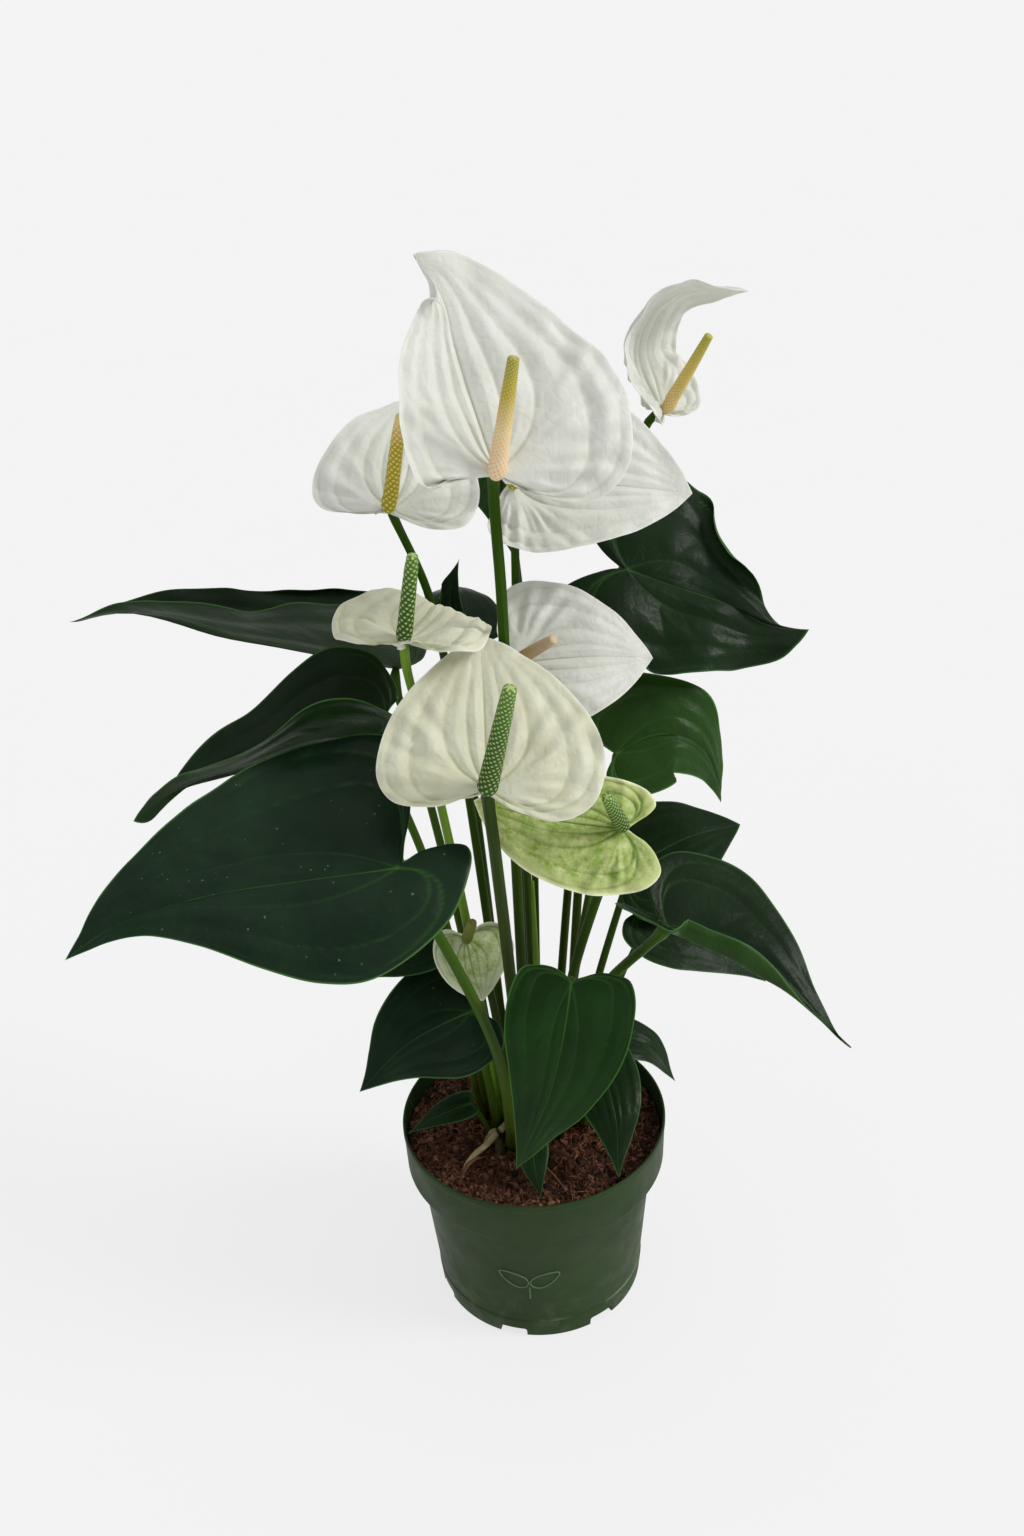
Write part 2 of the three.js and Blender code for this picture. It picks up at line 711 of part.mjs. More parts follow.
// Aerial roots run from the crown's side out and down to just above the mix.
const ROOTS = [
  { from: [-14, -12, 124], to: [-44, -36, 121], radius: [2.6, 1.7] },
  { from: [0, -20, 123], to: [3, -58, 121], radius: [2.6, 1.8] },
  { from: [-4, -14, 124], to: [-12, -40, 121], radius: [2.2, 1.5] },
];

// The sheath stands on the crown, between the stalks.
const SHEATH = { foot: [6, -9], gap: 1.35, to: [[6, -15, 240], [6, -21, 322]], radius: [3.4, 0.7] };

// ---------------------------------------------------------------- the crown
function crownGeometry() {
  const waist = crownFoot + CROWN_HEIGHT * 0.6;
  const profile = [
    [0, crownFoot],
    [CROWN_RADIUS * 0.94, crownFoot],
    [CROWN_RADIUS, waist],
    [CROWN_RADIUS * 0.97, crownTop],
    [0, crownTop],
  ].map(([r, z]) => new THREE.Vector2(r, z));
  const stem = new THREE.LatheGeometry(profile, CROWN_SEGMENTS)
    .rotateX(Math.PI / 2)
    .translate(CROWN_CENTRE[0], CROWN_CENTRE[1], 0);
  const roots = ROOTS.map((root) => {
    const from = planPoint(root.from);
    const to = planPoint(root.to);
    const middle = from.clone().lerp(to, 0.5).add(new THREE.Vector3(0, 0, ROOT_ARCH));
    const radiusAt = (t) => mix(root.radius[0], root.radius[1], t);
    return tubeGeometry([from, middle, to], radiusAt, STALK_SIDES, ROOT_STEPS);
  });
  return joined([stem, ...roots]);
}

function sheathGeometry() {
  const foot = new THREE.Vector3(...SHEATH.foot, crownTop + SHEATH.gap);
  const points = [foot, ...SHEATH.to.map((p) => planPoint(p))];
  const radiusAt = (t) => mix(SHEATH.radius[0], SHEATH.radius[1], t);
  return tubeGeometry(points, radiusAt, STALK_SIDES, ROOT_STEPS);
}

// ---------------------------------------------------------------- assembly
const plant = new THREE.Group();
plant.name = "potted_anthurium";

function add(name, geometry, look) {
  const mesh = new THREE.Mesh(geometry, materials[look]);
  mesh.name = name;
  plant.add(mesh);
}

add("nursery_pot", potGeometry(), "pot");
add("potting_mix", mixGeometry(), "mix");
add("crown", crownGeometry(), "crown");
add("leaf_sheath", sheathGeometry(), "sheath");

FLOWERS.forEach((flower, i) => {
  const name = `flower_${i + 1}`;
  const blade = bladeShape({ outline: "spathe", ...flower });
  const [spatheLook, spadixLook] = flower.look;
  add(`${name}_spathe`, bladeGeometry(blade, SPATHE_THICKNESS, SPATHE_RAYS), spatheLook);
  add(`${name}_spadix`, spadixGeometry(blade, flower.spadix), spadixLook);
  add(`${name}_stalk`, stalkGeometry(blade, SPATHE_THICKNESS, flower.stalk), "flowerStalk");
});

LEAVES.forEach((leaf, i) => {
  const name = `leaf_${i + 1}`;
  const blade = bladeShape(leaf);
  add(`${name}_blade`, bladeGeometry(blade, LEAF_THICKNESS, LEAF_RAYS), leaf.look ?? "darkLeaf");
  add(`${name}_stalk`, stalkGeometry(blade, LEAF_THICKNESS, leaf.stalk), "leafStalk");
});

WHOLE_LEAVES.forEach((leaf, i) => {
  const blade = bladeShape(leaf);
  const pieces = [
    bladeGeometry(blade, LEAF_THICKNESS, SPATHE_RAYS),
    stalkGeometry(blade, LEAF_THICKNESS, leaf.stalk, true),
  ];
  add(`leaf_${LEAVES.length + i + 1}`, joined(pieces), "darkLeaf");
});

export default plant;
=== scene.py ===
# %% [markdown]
# # A potted anthurium
#
# The plant is a white anthurium in a green nursery pot: nine flowers and eighteen leaves on thin
# stalks, a crown with a few roots in the air, and a dark coir mix. Its CAD model already says
# where every blade and stalk is, and how large, but each blade there is a net of a few dozen
# points. This script reads those nets back and grows the real surfaces over them. That way
# nothing has to be placed by eye, and every size stays that of the CAD model.

# %% Load the frame
import math

import bmesh
import bpy
import numpy as np
from mathutils import Matrix, Vector, noise


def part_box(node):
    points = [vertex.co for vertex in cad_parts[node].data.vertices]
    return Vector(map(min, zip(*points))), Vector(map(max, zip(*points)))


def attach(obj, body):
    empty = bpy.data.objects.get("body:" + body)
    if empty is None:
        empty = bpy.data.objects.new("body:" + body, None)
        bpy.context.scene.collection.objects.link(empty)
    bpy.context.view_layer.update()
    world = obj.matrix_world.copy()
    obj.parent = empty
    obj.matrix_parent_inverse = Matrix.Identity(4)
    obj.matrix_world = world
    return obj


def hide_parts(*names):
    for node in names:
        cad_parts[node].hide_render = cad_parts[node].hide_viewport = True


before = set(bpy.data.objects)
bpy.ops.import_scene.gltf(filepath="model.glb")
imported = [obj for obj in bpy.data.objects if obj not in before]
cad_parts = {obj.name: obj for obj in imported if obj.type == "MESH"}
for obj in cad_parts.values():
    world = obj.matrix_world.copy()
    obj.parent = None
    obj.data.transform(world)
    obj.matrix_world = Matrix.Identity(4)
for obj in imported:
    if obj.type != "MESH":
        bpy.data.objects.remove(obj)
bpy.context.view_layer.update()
MM = 0.001

# %% [markdown]
# ## Reading a blade's net
#
# A CAD blade has a pole over its stalk. Rays run out from the pole to the margin, and rings go
# round it, like a spider's web, once for the upper face and once for the lower. The file keeps
# only triangles, so the web has to be found again. We join the doubled corners, and then walk
# outwards from the pole one neighbour at a time: each step finds exactly one ring.

# %% Points and neighbours of a CAD node
WELD = 0.02 * MM


def welded(node):
    """A CAD node's points, each point's neighbours, and each point's normal."""
    web = bmesh.new()
    web.from_mesh(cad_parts[node].data)
    bmesh.ops.remove_doubles(web, verts=web.verts, dist=WELD)
    web.verts.index_update()
    web.normal_update()
    points = np.array([v.co for v in web.verts])
    normals = np.array([v.normal for v in web.verts])
    near = [[edge.other_vert(v).index for edge in v.link_edges] for v in web.verts]
    web.free()
    return points, near, normals


def rings_from(near, pole, size):
    """The rings round a pole, from the inside out, for as long as each holds `size` points."""
    seen = {pole}
    ring = [pole]
    rings = []
    while True:
        ring = sorted({k for i in ring for k in near[i]} - seen)
        if len(ring) != size:
            return rings
        seen.update(ring)
        rings.append(ring)


def in_order(near, ring, start):
    """A ring's points in the order in which they follow each other, from `start`."""
    left = set(ring) - {start}
    order = [start]
    while left:
        after = [k for k in near[order[-1]] if k in left]
        if not after:
            raise ValueError("a ring of the net is broken")
        order.append(after[0])
        left.discard(after[0])
    return order


# %% [markdown]
# The notch between a leaf's lobes is the shortest ray, so each ring starts there, and the ray
# halfway round is the tip. All rings have to run the same way round, seen from above the blade.

# %% The net of a blade, ring by ring
RING_SHARES = np.array([0, 0.28, 0.56, 0.8, 1])


def straight_ahead(points, near, order, net):
    """The margin of a blade whose stalk grew into it: from each ray's last point, the neighbour
    that lies furthest ahead."""
    margin = []
    for i, last, before in zip(order, net[-1], net[-2]):
        way = (last - before) / np.linalg.norm(last - before)
        margin.append(max((points[k] for k in near[i]), key=lambda p: (p - last) @ way))
    return np.array(margin)


def blade_net(node, rays, stalk_end=None):
    """The upper face's net as an array of rings, rays and xyz, with the pole's normal."""
    points, near, normals = welded(node)
    poles = [i for i, around in enumerate(near) if len(around) == rays]
    if stalk_end is not None:
        poles.sort(key=lambda i: -np.linalg.norm(points[i] - stalk_end))
    pole = poles[0]
    up = normals[pole]
    rings = rings_from(near, pole, rays)[: len(RING_SHARES) - 1]
    net = [np.repeat(points[pole][None], rays, axis=0)]
    for ring in rings:
        start = min(ring, key=lambda i: np.linalg.norm(points[i] - points[pole]))
        order = in_order(near, ring, start)
        loop = points[order]
        before = net[-1]
        if len(net) == 1:
            turn = np.cross(loop - before, np.roll(loop, -1, axis=0) - before).sum(axis=0)
            backwards = turn @ up < 0
        else:
            same = np.linalg.norm(loop - before, axis=1).sum()
            other = np.linalg.norm(np.roll(loop[::-1], 1, axis=0) - before, axis=1).sum()
            backwards = other < same
        if backwards:
            order = [order[0], *order[:0:-1]]
        net.append(points[order])
    if len(net) < len(RING_SHARES):
        net.append(straight_ahead(points, near, order, net))
    return np.array(net), up


# %% The line of a tube
def tube_line(node, sides, foot_near=None, rows=None):
    """Centres and radii of a CAD tube's rings. They start at its lowest end, or at the end nearest
    to a given point."""
    points, near, _ = welded(node)
    ends = [i for i, around in enumerate(near) if len(around) == sides]
    if foot_near is None:
        foot = min(ends, key=lambda i: points[i][2])
    else:
        foot = min(ends, key=lambda i: np.linalg.norm(points[i] - foot_near))
    rings = rings_from(near, foot, sides)[:rows]
    centres = np.array([points[ring].mean(axis=0) for ring in rings])
    radii = [np.linalg.norm(points[r] - c, axis=1).mean() for r, c in zip(rings, centres)]
    return centres, np.array(radii)


# %% [markdown]
# ## From a coarse net to a smooth sheet
#
# A curve that passes through each point of the net, and leaves it with the slope of its two
# neighbours, rounds the net off without moving it. The midrib is where a blade folds, so the
# curves round the rings stop at the notch and at the tip, and the fold keeps its line.

# %% A curve through given points
def curve_through(points, spots, wanted):
    """Points of a smooth curve through `points`, which lie at `spots`, at the places `wanted`."""
    slope = np.gradient(points, spots, axis=0, edge_order=2)
    before = np.clip(np.searchsorted(spots, wanted, "right") - 1, 0, len(spots) - 2)
    column = (-1,) + (1,) * (points.ndim - 1)
    gap = (spots[before + 1] - spots[before]).reshape(column)
    t = (wanted - spots[before]).reshape(column) / gap
    return (
        (2 * t**3 - 3 * t**2 + 1) * points[before]
        + (t**3 - 2 * t**2 + t) * gap * slope[before]
        + (3 * t**2 - 2 * t**3) * points[before + 1]
        + (t**3 - t**2) * gap * slope[before + 1]
    )


# %% The fine sheet and its flat pattern
EDGE_SHARES = (0.98, 0.99, 0.997, 1)


def fine_rings(count):
    """Shares of the way to the margin, closer together at the rounded edge."""
    return np.r_[np.linspace(0, 0.965, count - len(EDGE_SHARES)), EDGE_SHARES]


def smooth_sheet(net, per_ray, rings):
    """The net's sheet on many more rays and rings."""
    rays = net.shape[1]
    half = rays // 2
    wanted = np.linspace(0, half, half * per_ray + 1)[:-1]
    round_net = np.swapaxes(net, 0, 1)
    closed = np.concatenate([round_net, round_net[:1]])
    spots = np.arange(half + 1.0)
    halves = [curve_through(closed[s : s + half + 1], spots, wanted) for s in (0, half)]
    finer = np.swapaxes(np.concatenate(halves), 0, 1)
    return curve_through(finer, RING_SHARES, rings)


def ray_angles(net, per_ray):
    """Each fine ray's angle on the flat blade: 0 at the tip, half a turn each way at the notch."""
    rays = net.shape[1]
    half = rays // 2
    ways = net[1] - net[0]
    ways /= np.linalg.norm(ways, axis=1)[:, None] + 1e-12
    between = np.arccos(np.clip((ways * np.roll(ways, -1, axis=0)).sum(axis=1), -1, 1)) + 0.02
    left = np.pi * np.cumsum(np.r_[0, between[:half]]) / between[:half].sum() - np.pi
    right = np.pi * np.cumsum(np.r_[0, between[half:]]) / between[half:].sum()
    coarse = np.concatenate([left[:-1], right])
    return np.interp(np.arange(rays * per_ray) / per_ray, np.arange(rays + 1), coarse)


def sheet_normals(sheet, up):
    """Unit normals of a sheet of rings and rays, on the side of `up`."""
    outwards = np.gradient(sheet, axis=0)
    round_way = np.roll(sheet, -1, axis=1) - np.roll(sheet, 1, axis=1)
    normals = np.cross(outwards, round_way)
    normals[0] = 0
    normals /= np.linalg.norm(normals, axis=2)[..., None] + 1e-15
    if (normals[2] @ up).mean() < 0:
        normals = -normals
    normals[0] = up
    normals[1] = 0.5 * (normals[1] + up)
    normals /= np.linalg.norm(normals, axis=2)[..., None] + 1e-15
    return normals


# %% [markdown]
# ## Veins
#
# On an anthurium a handful of main veins leave the stalk together. The outer ones swing round
# the lobes, run along the margin and meet at the tip. The inner ones run beside the midrib, and
# side veins leave the midrib and join them. We draw these as lines on the flat blade, measure how
# far each point of the sheet is from them, and press the sheet in along them. Between two veins
# it then stands up like a quilt. Drawing them flat is simple, because there the outline is a
# plain heart shape, however much the finished blade twists.

# %% Vein lines on the flat blade
VEIN_STEPS = 28
LOBE_TURN = 2.5  # the outermost vein starts at this angle from the tip, in radians
HUG = 0.93  # and runs at this share of the way to the margin
FAR_AWAY = 9.0


def edge_curve(angles, reach, start, share):
    """A line beside the margin on one side: from the pole, round the lobe, and on to the tip."""
    t = np.linspace(0, 1, VEIN_STEPS)
    angle = start * (1 - t) ** 1.25
    length = np.interp(angle, angles, reach)
    out = share * (1 - np.exp(-t / 0.1)) + (1 - share) * t**3
    return np.stack([np.sin(angle) * length * out, np.cos(angle) * length * out], axis=1)


def vein_lines(angles, reach, outer, inner, sides):
    """Vein lines as (points, strength): outer and inner are shares of the half width, and sides
    are the places on the midrib where side veins start."""
    tip = np.interp(0, angles, reach)
    midrib = np.stack([np.zeros(VEIN_STEPS), np.linspace(0, tip, VEIN_STEPS)], axis=1)
    lines = [(midrib, 1.0)]
    for side in (-1, 1):
        order = np.argsort(side * angles)
        hug = edge_curve(side * angles[order], reach[order], LOBE_TURN, HUG)
        hug[:, 0] *= side
        for share in outer:
            line = hug * [share, 1]
            line[:, 1] *= np.where(hug[:, 1] < 0, share, 1)
            lines.append((line, 0.9))
        for share in inner:
            along = np.linspace(0, tip, VEIN_STEPS)
            upper = hug[:, 1] > 0
            width = np.interp(along, hug[upper, 1], hug[upper, 0])
            leave = 1 - np.exp(-along / (tip * (0.08 + 0.16 * (1 - share))))
            lines.append((np.stack([share * width * leave, along], axis=1), 0.8))
        for place in sides:
            t = np.linspace(0, 1, VEIN_STEPS)
            along = tip * np.minimum(place + 0.25 * t**0.9, 0.97)
            upper = hug[:, 1] > 0
            width = np.interp(along, hug[upper, 1], hug[upper, 0])
            lines.append((np.stack([0.95 * width * t, along], axis=1), 0.45))
    return lines


def distance_to_line(spots, line):
    """How far each flat spot is from a line, and how far along the line that is (0 to 1)."""
    best = np.full(len(spots), FAR_AWAY)
    place = np.zeros(len(spots))
    for i in range(len(line) - 1):
        way = line[i + 1] - line[i]
        size = way @ way
        if size < 1e-12:
            continue
        t = np.clip((spots - line[i]) @ way / size, 0, 1)
        apart = np.linalg.norm(spots - line[i] - t[:, None] * way, axis=1)
        closer = apart < best
        best[closer] = apart[closer]
        place[closer] = ((i + t) / (len(line) - 1))[closer]
    return best, place


# %% Relief and vein colour at every spot
MIDRIB_PALING = 0.35  # the midrib pales towards the tip more slowly than the other veins


def relief_of(flat, lines, style):
    """The height over the sheet at each flat spot, and how much of a vein it is (0 to 1)."""
    spots = flat.reshape(-1, 2)
    nearest = np.full(len(spots), FAR_AWAY)
    groove = np.zeros(len(spots))
    colour = np.zeros(len(spots))
    for line, strength in lines:
        apart, place = distance_to_line(spots, line)
        nearest = np.minimum(nearest, apart + (1 - strength) * style["pillow"])
        fade = 1 - style["fade"] * place
        groove = np.maximum(groove, strength * fade * np.exp(-((apart / style["vein"]) ** 2)))
        thin = style["vein"] * (1.0 - 0.65 * place)
        paling = style["colour_fade"] * (MIDRIB_PALING if strength == 1 else 1.0)
        shown = strength ** style["quiet"] * np.exp(-paling * place)
        colour = np.maximum(colour, shown * np.exp(-((apart / thin) ** 2)))
    height = style["quilt"] * (1 - np.exp(-((nearest / style["pillow"]) ** 1.6)))
    height -= style["groove"] * groove
    return height.reshape(flat.shape[:2]), colour.reshape(flat.shape[:2])


def rumple(flat, seed, size):
    """Gentle unevenness, the same each run: a number from about -1 to 1 for each flat spot."""
    spots = flat.reshape(-1, 2) / size
    values = [noise.noise(Vector((x, y, seed))) for x, y in spots]
    return np.array(values).reshape(flat.shape[:2])


# %% [markdown]
# ## Finishes
#
# Each finish is a small tree of nodes around one Principled shader. The nodes read three things
# that we store on the mesh: where a point is on the flat blade, how much of a vein it is, and how
# far it is from the margin. So colour and bump stay on the blade when it bends.

# %% Small helpers for node trees
def colour(code):
    """A colour such as "#1b2d22" as the linear numbers that a shader takes."""
    parts = [int(code[i : i + 2], 16) / 255 for i in (1, 3, 5)]
    return [p / 12.92 if p <= 0.04045 else ((p + 0.055) / 1.055) ** 2.4 for p in parts] + [1]


def plug(material, socket, value):
    """Feeds a socket from another node's output, or else sets its value."""
    if isinstance(value, bpy.types.NodeSocket):
        material.node_tree.links.new(value, socket)
    else:
        socket.default_value = value


def add_node(material, kind, sockets=None, **options):
    """A new node. Each socket gets a value, or the output socket that feeds it."""
    node = material.node_tree.nodes.new("ShaderNode" + kind)
    for name, value in options.items():
        setattr(node, name, value)
    for name, value in (sockets or {}).items():
        plug(material, node.inputs[name], value)
    return node


def stored(material, name, vector=False):
    """What the mesh stores under this name."""
    node = add_node(material, "Attribute", attribute_name=name)
    return node.outputs["Vector" if vector else "Fac"]


def on_blade(material):
    """A point's place on the flat blade, which bends with the blade."""
    return stored(material, "flat", vector=True)


def in_space(material):
    """A point's place in metres, for what doesn't bend."""
    return add_node(material, "TexCoord").outputs["Object"]


def speckle(material, where, scale, detail=4.0, roughness=0.6):
    sockets = {"Vector": where, "Scale": scale, "Detail": detail, "Roughness": roughness}
    return add_node(material, "TexNoise", sockets).outputs["Fac"]


def squeeze(material, value, low, high, to_low=0.0, to_high=1.0):
    """Carries the range from low to high over to another range, and holds it there."""
    ends = {"From Min": low, "From Max": high, "To Min": to_low, "To Max": to_high}
    return add_node(material, "MapRange", {"Value": value, **ends}).outputs["Result"]


def blend(material, share, first, second):
    """The first colour at share 0, the second at share 1."""
    node = add_node(material, "Mix", {"Factor": share}, data_type="RGBA")
    plug(material, node.inputs[6], first)
    plug(material, node.inputs[7], second)
    return node.outputs[2]


def times(material, first, second):
    return add_node(material, "Math", {0: first, 1: second}, operation="MULTIPLY").outputs[0]


# %% [markdown]
# Bump and gloss are never even on a living thing. Both come from soft noise at a scale that suits
# the surface, so we keep two small makers: one for the height that a bump reads, one for a
# roughness that wanders between two values.

# %% Makers of bump, of gloss and of whole finishes
def grain(place, *noise_settings):
    return lambda material: speckle(material, place(material), *noise_settings)


def uneven_gloss(place, scale, detail, shiny, dull):
    return lambda m: squeeze(m, speckle(m, place(m), scale, detail), 0.35, 0.7, shiny, dull)


def new_finish(name, base, roughness, bumps, **fixed):
    """A material from a function that makes its base colour, and bumps as (height, depth)."""
    material = bpy.data.materials.new(name)
    material.use_nodes = True
    shader = material.node_tree.nodes["Principled BSDF"]
    plug(material, shader.inputs["Base Color"], base(material))
    rough = roughness(material) if callable(roughness) else roughness
    plug(material, shader.inputs["Roughness"], rough)
    normal = {}
    for height, depth in bumps:
        sockets = {"Height": height(material), "Distance": depth, "Strength": 1.0, **normal}
        normal = {"Normal": add_node(material, "Bump", sockets).outputs["Normal"]}
    for socket, value in {**normal, **fixed}.items():
        plug(material, shader.inputs[socket.replace("_", " ")], value)
    return material


# %% [markdown]
# Leaves are dark, with a waxy skin that mirrors the sky in long soft patches. The veins and a
# hairline at the margin are lighter. Seen from below they are a duller, lighter green. On leaves
# 1 and 2 the underside is darker still: painted shade, for the shade that it lies in.

# %% Leaf finishes
def leaf_colour(base, blotch, vein, margin, vein_share, spots=0.0):
    def make(material):
        flat = on_blade(material)
        soft = squeeze(material, speckle(material, flat, 28.0, 5.0), 0.35, 0.7)
        body = blend(material, soft, colour(base), colour(blotch))
        fine = squeeze(material, speckle(material, flat, 420.0, 3.0), 0.5, 0.75, 0.0, 0.35)
        body = blend(material, fine, body, colour(blotch))
        lines = times(material, stored(material, "vein"), vein_share)
        body = blend(material, lines, body, colour(vein))
        rim = squeeze(material, stored(material, "edge"), 0.3 * MM, 1.4 * MM, 0.8, 0.0)
        body = blend(material, rim, body, colour(margin))
        if spots:
            sockets = {"Vector": flat, "Scale": 190.0}
            drops = add_node(material, "TexVoronoi", sockets, feature="F1").outputs["Distance"]
            where = squeeze(material, speckle(material, flat, 40.0), 0.5, 0.6)
            mark = times(material, squeeze(material, drops, 0.05, 0.13, spots, 0.0), where)
            body = blend(material, mark, body, colour("#9fb0a6"))
        return body

    return make


def net_of_veins(material):
    """The finest veins, which close into cells about 6 mm wide."""
    sockets = {"Vector": on_blade(material), "Scale": 170.0}
    cells = add_node(material, "TexVoronoi", sockets, feature="DISTANCE_TO_EDGE")
    return squeeze(material, cells.outputs["Distance"], 0.0, 0.22)


skin = grain(on_blade, 900.0, 2.0)
soft_waves = grain(on_blade, 75.0, 3.0)
leaf_gloss = uneven_gloss(on_blade, 45.0, 4.0, 0.3, 0.46)


def leaf_finish(name, *colours, gloss=0.11, **more):
    bumps = [(soft_waves, 0.5 * MM), (net_of_veins, 0.05 * MM), (skin, 0.04 * MM)]
    make = leaf_colour(*colours, **more)
    return new_finish(name, make, leaf_gloss, bumps, Specular_IOR_Level=gloss)


dark_leaf = leaf_finish("dark_leaf", "#11220e", "#182d15", "#3f682b", "#3f6632", 0.7)
old_leaf = leaf_finish("old_leaf", "#132416", "#1b311d", "#44702f", "#4f7a40", 0.8, spots=0.35)
young_leaf = leaf_finish("young_leaf", "#0e2806", "#15360b", "#4a7a2c", "#3f7028", 0.6)
pale_leaf = leaf_finish("pale_leaf", "#223d14", "#2d4d1c", "#5a8a3a", "#4f8030", 0.6)
leaf_underside = leaf_finish(
    "leaf_underside", "#223b15", "#2f4d1e", "#557d34", "#46703a", 0.7, gloss=0.1
)
# The underside of leaves 1 and 2 is a darker copy of leaf_underside: painted shade.
painted_shade_underside = leaf_finish("painted_shade_underside", "#142a0e", "#1c3714", "#3f6a2c", "#46703a", 0.5)
print("leaf finishes made")

# %% [markdown]
# A spathe is the one coloured leaf around each flower. White ones are waxy and let a little
# light through, which subsurface scattering gives. The two last flowers are still turning:
# green gathers between and along their veins and fades towards the margin.

# %% Spathe finishes
def white_colour(base, shade, vein):
    def make(material):
        soft = squeeze(material, speckle(material, on_blade(material), 35.0, 4.0), 0.35, 0.7)
        body = blend(material, soft, colour(base), colour(shade))
        lines = times(material, stored(material, "vein"), 0.75)
        body = blend(material, lines, body, colour(vein))
        rim = squeeze(material, stored(material, "edge"), 0.2 * MM, 1.2 * MM, 0.5, 0.0)
        return blend(material, rim, body, colour("#eceee6"))

    return make


def turning_colour(pale, green, vein, reach):
    def make(material):
        flat = on_blade(material)
        inner = squeeze(material, stored(material, "edge"), 2 * MM, reach)
        patches = squeeze(material, speckle(material, flat, 130.0, 6.0, 0.75), 0.38, 0.62)
        body = blend(material, times(material, inner, patches), colour(pale), colour(green))
        lines = times(material, stored(material, "vein"), 0.9)
        body = blend(material, lines, body, colour(vein))
        rim = squeeze(material, stored(material, "edge"), 0.4 * MM, 1.8 * MM, 0.8, 0.0)
        return blend(material, rim, body, colour("#eef2cf"))

    return make


wax_gloss = uneven_gloss(on_blade, 60.0, 3.0, 0.38, 0.55)


def spathe_finish(name, make_colour):
    return new_finish(
        name,
        make_colour,
        wax_gloss,
        [(soft_waves, 0.9 * MM), (net_of_veins, 0.12 * MM), (skin, 0.04 * MM)],
        Subsurface_Weight=0.12,
        Subsurface_Scale=2 * MM,
        Subsurface_Radius=[1.0, 1.0, 0.8],
        Specular_IOR_Level=0.2,
    )


white_spathe = spathe_finish("white_spathe", white_colour("#dcddd6", "#d2d4ca", "#bfc3ac"))
cream_spathe = spathe_finish("cream_spathe", white_colour("#d6d6c0", "#cbcbad", "#b4ba88"))
turning_spathe = spathe_finish(
    "turning_spathe", turning_colour("#c3cd8c", "#84a03c", "#557a26", 10 * MM)
)
budding_spathe = spathe_finish(
    "budding_spathe", turning_colour("#d4dbb6", "#92a957", "#5c8030", 8 * MM)
)
print("spathe finishes made")

# %% [markdown]
# Stalks are smooth and juicy, green with fine darker streaks along them, and browner low down.
# A spadix is a finger packed with tiny flowers in spirals, each with a pale dot in the middle.

# %% Stalk and spadix finishes
def stalk_finish(name, low, high, streak):
    def make(material):
        around = on_blade(material)
        along = squeeze(material, stored(material, "along"), 0.05, 0.9)
        body = blend(material, along, colour(low), colour(high))
        lines = squeeze(material, speckle(material, around, 1.0, 5.0, 0.7), 0.45, 0.7, 0.0, 0.7)
        return blend(material, lines, body, colour(streak))

    ridges = [(grain(on_blade, 1.6, 2.0), 0.25 * MM)]
    return new_finish(name, make, 0.42, ridges, Specular_IOR_Level=0.05)


green_stalk = stalk_finish("green_stalk", "#333f10", "#31500a", "#203808")
olive_stalk = stalk_finish("olive_stalk", "#3f4a1c", "#35471b", "#232f12")
leaf_stalk = stalk_finish("leaf_stalk", "#3f4c18", "#3a5a16", "#263d0e")
pale_stalk = stalk_finish("pale_stalk", "#64862a", "#779c38", "#4e6d20")


def set_ramp(ramp, stops):
    """Gives a colour ramp's node its stops, as (place, colour)."""
    marks = ramp.color_ramp.elements
    while len(marks) < len(stops):
        marks.new(0.5)
    for mark, (place, shade) in zip(marks, stops):
        mark.position = place
        mark.color = shade


def spadix_finish(name, stops, gap, dot, dot_share):
    def make(material):
        ramp = add_node(material, "ValToRGB", {"Fac": stored(material, "along")})
        set_ramp(ramp, [(place, colour(code)) for place, code in stops])
        deep = squeeze(material, stored(material, "floret"), 0.0, 0.4, 0.7, 0.0)
        body = blend(material, deep, ramp.outputs["Color"], colour(gap))
        spots = squeeze(material, stored(material, "floret"), 0.72, 0.9, 0.0, dot_share)
        return blend(material, spots, body, colour(dot))

    fine = [(grain(on_blade, 1.0, 3.0), 0.08 * MM)]
    return new_finish(name, make, 0.5, fine, Specular_IOR_Level=0.22)


blush_spadix = spadix_finish(
    "blush_spadix",
    [(0, "#efd0b0"), (0.42, "#e9cf9a"), (0.7, "#b9a632"), (1, "#97972a")],
    "#cfae74",
    "#f5dfc0",
    0.35,
)
golden_spadix = spadix_finish(
    "golden_spadix",
    [(0, "#a0951c"), (0.7, "#b09828"), (0.88, "#d9b478"), (1, "#e3c8a0")],
    "#8f841c",
    "#e4da7c",
    0.9,
)
peach_spadix = spadix_finish(
    "peach_spadix",
    [(0, "#e8c890"), (0.5, "#d4bb60"), (1, "#a3a42c")],
    "#b89c4c",
    "#ecd8a8",
    0.3,
)
tan_spadix = spadix_finish(
    "tan_spadix", [(0, "#8f7a34"), (0.5, "#b8986a"), (1, "#d2bb9a")], "#8a6c40", "#d0b48a", 0.6
)
green_spadix = spadix_finish(
    "green_spadix", [(0, "#335416"), (0.6, "#3a621c"), (1, "#52802c")], "#2a480f", "#b9c682", 0.9
)
olive_spadix = spadix_finish(
    "olive_spadix", [(0, "#4c5a1c"), (1, "#6c7226")], "#39440f", "#95974c", 0.6
)
print("stalk and spadix finishes made")

# %% [markdown]
# The pot is pressed from dull green plastic. It is slightly mottled, a little dusty near the
# foot, and scuffed where pots rub together. The mix is dark coir, in many browns.

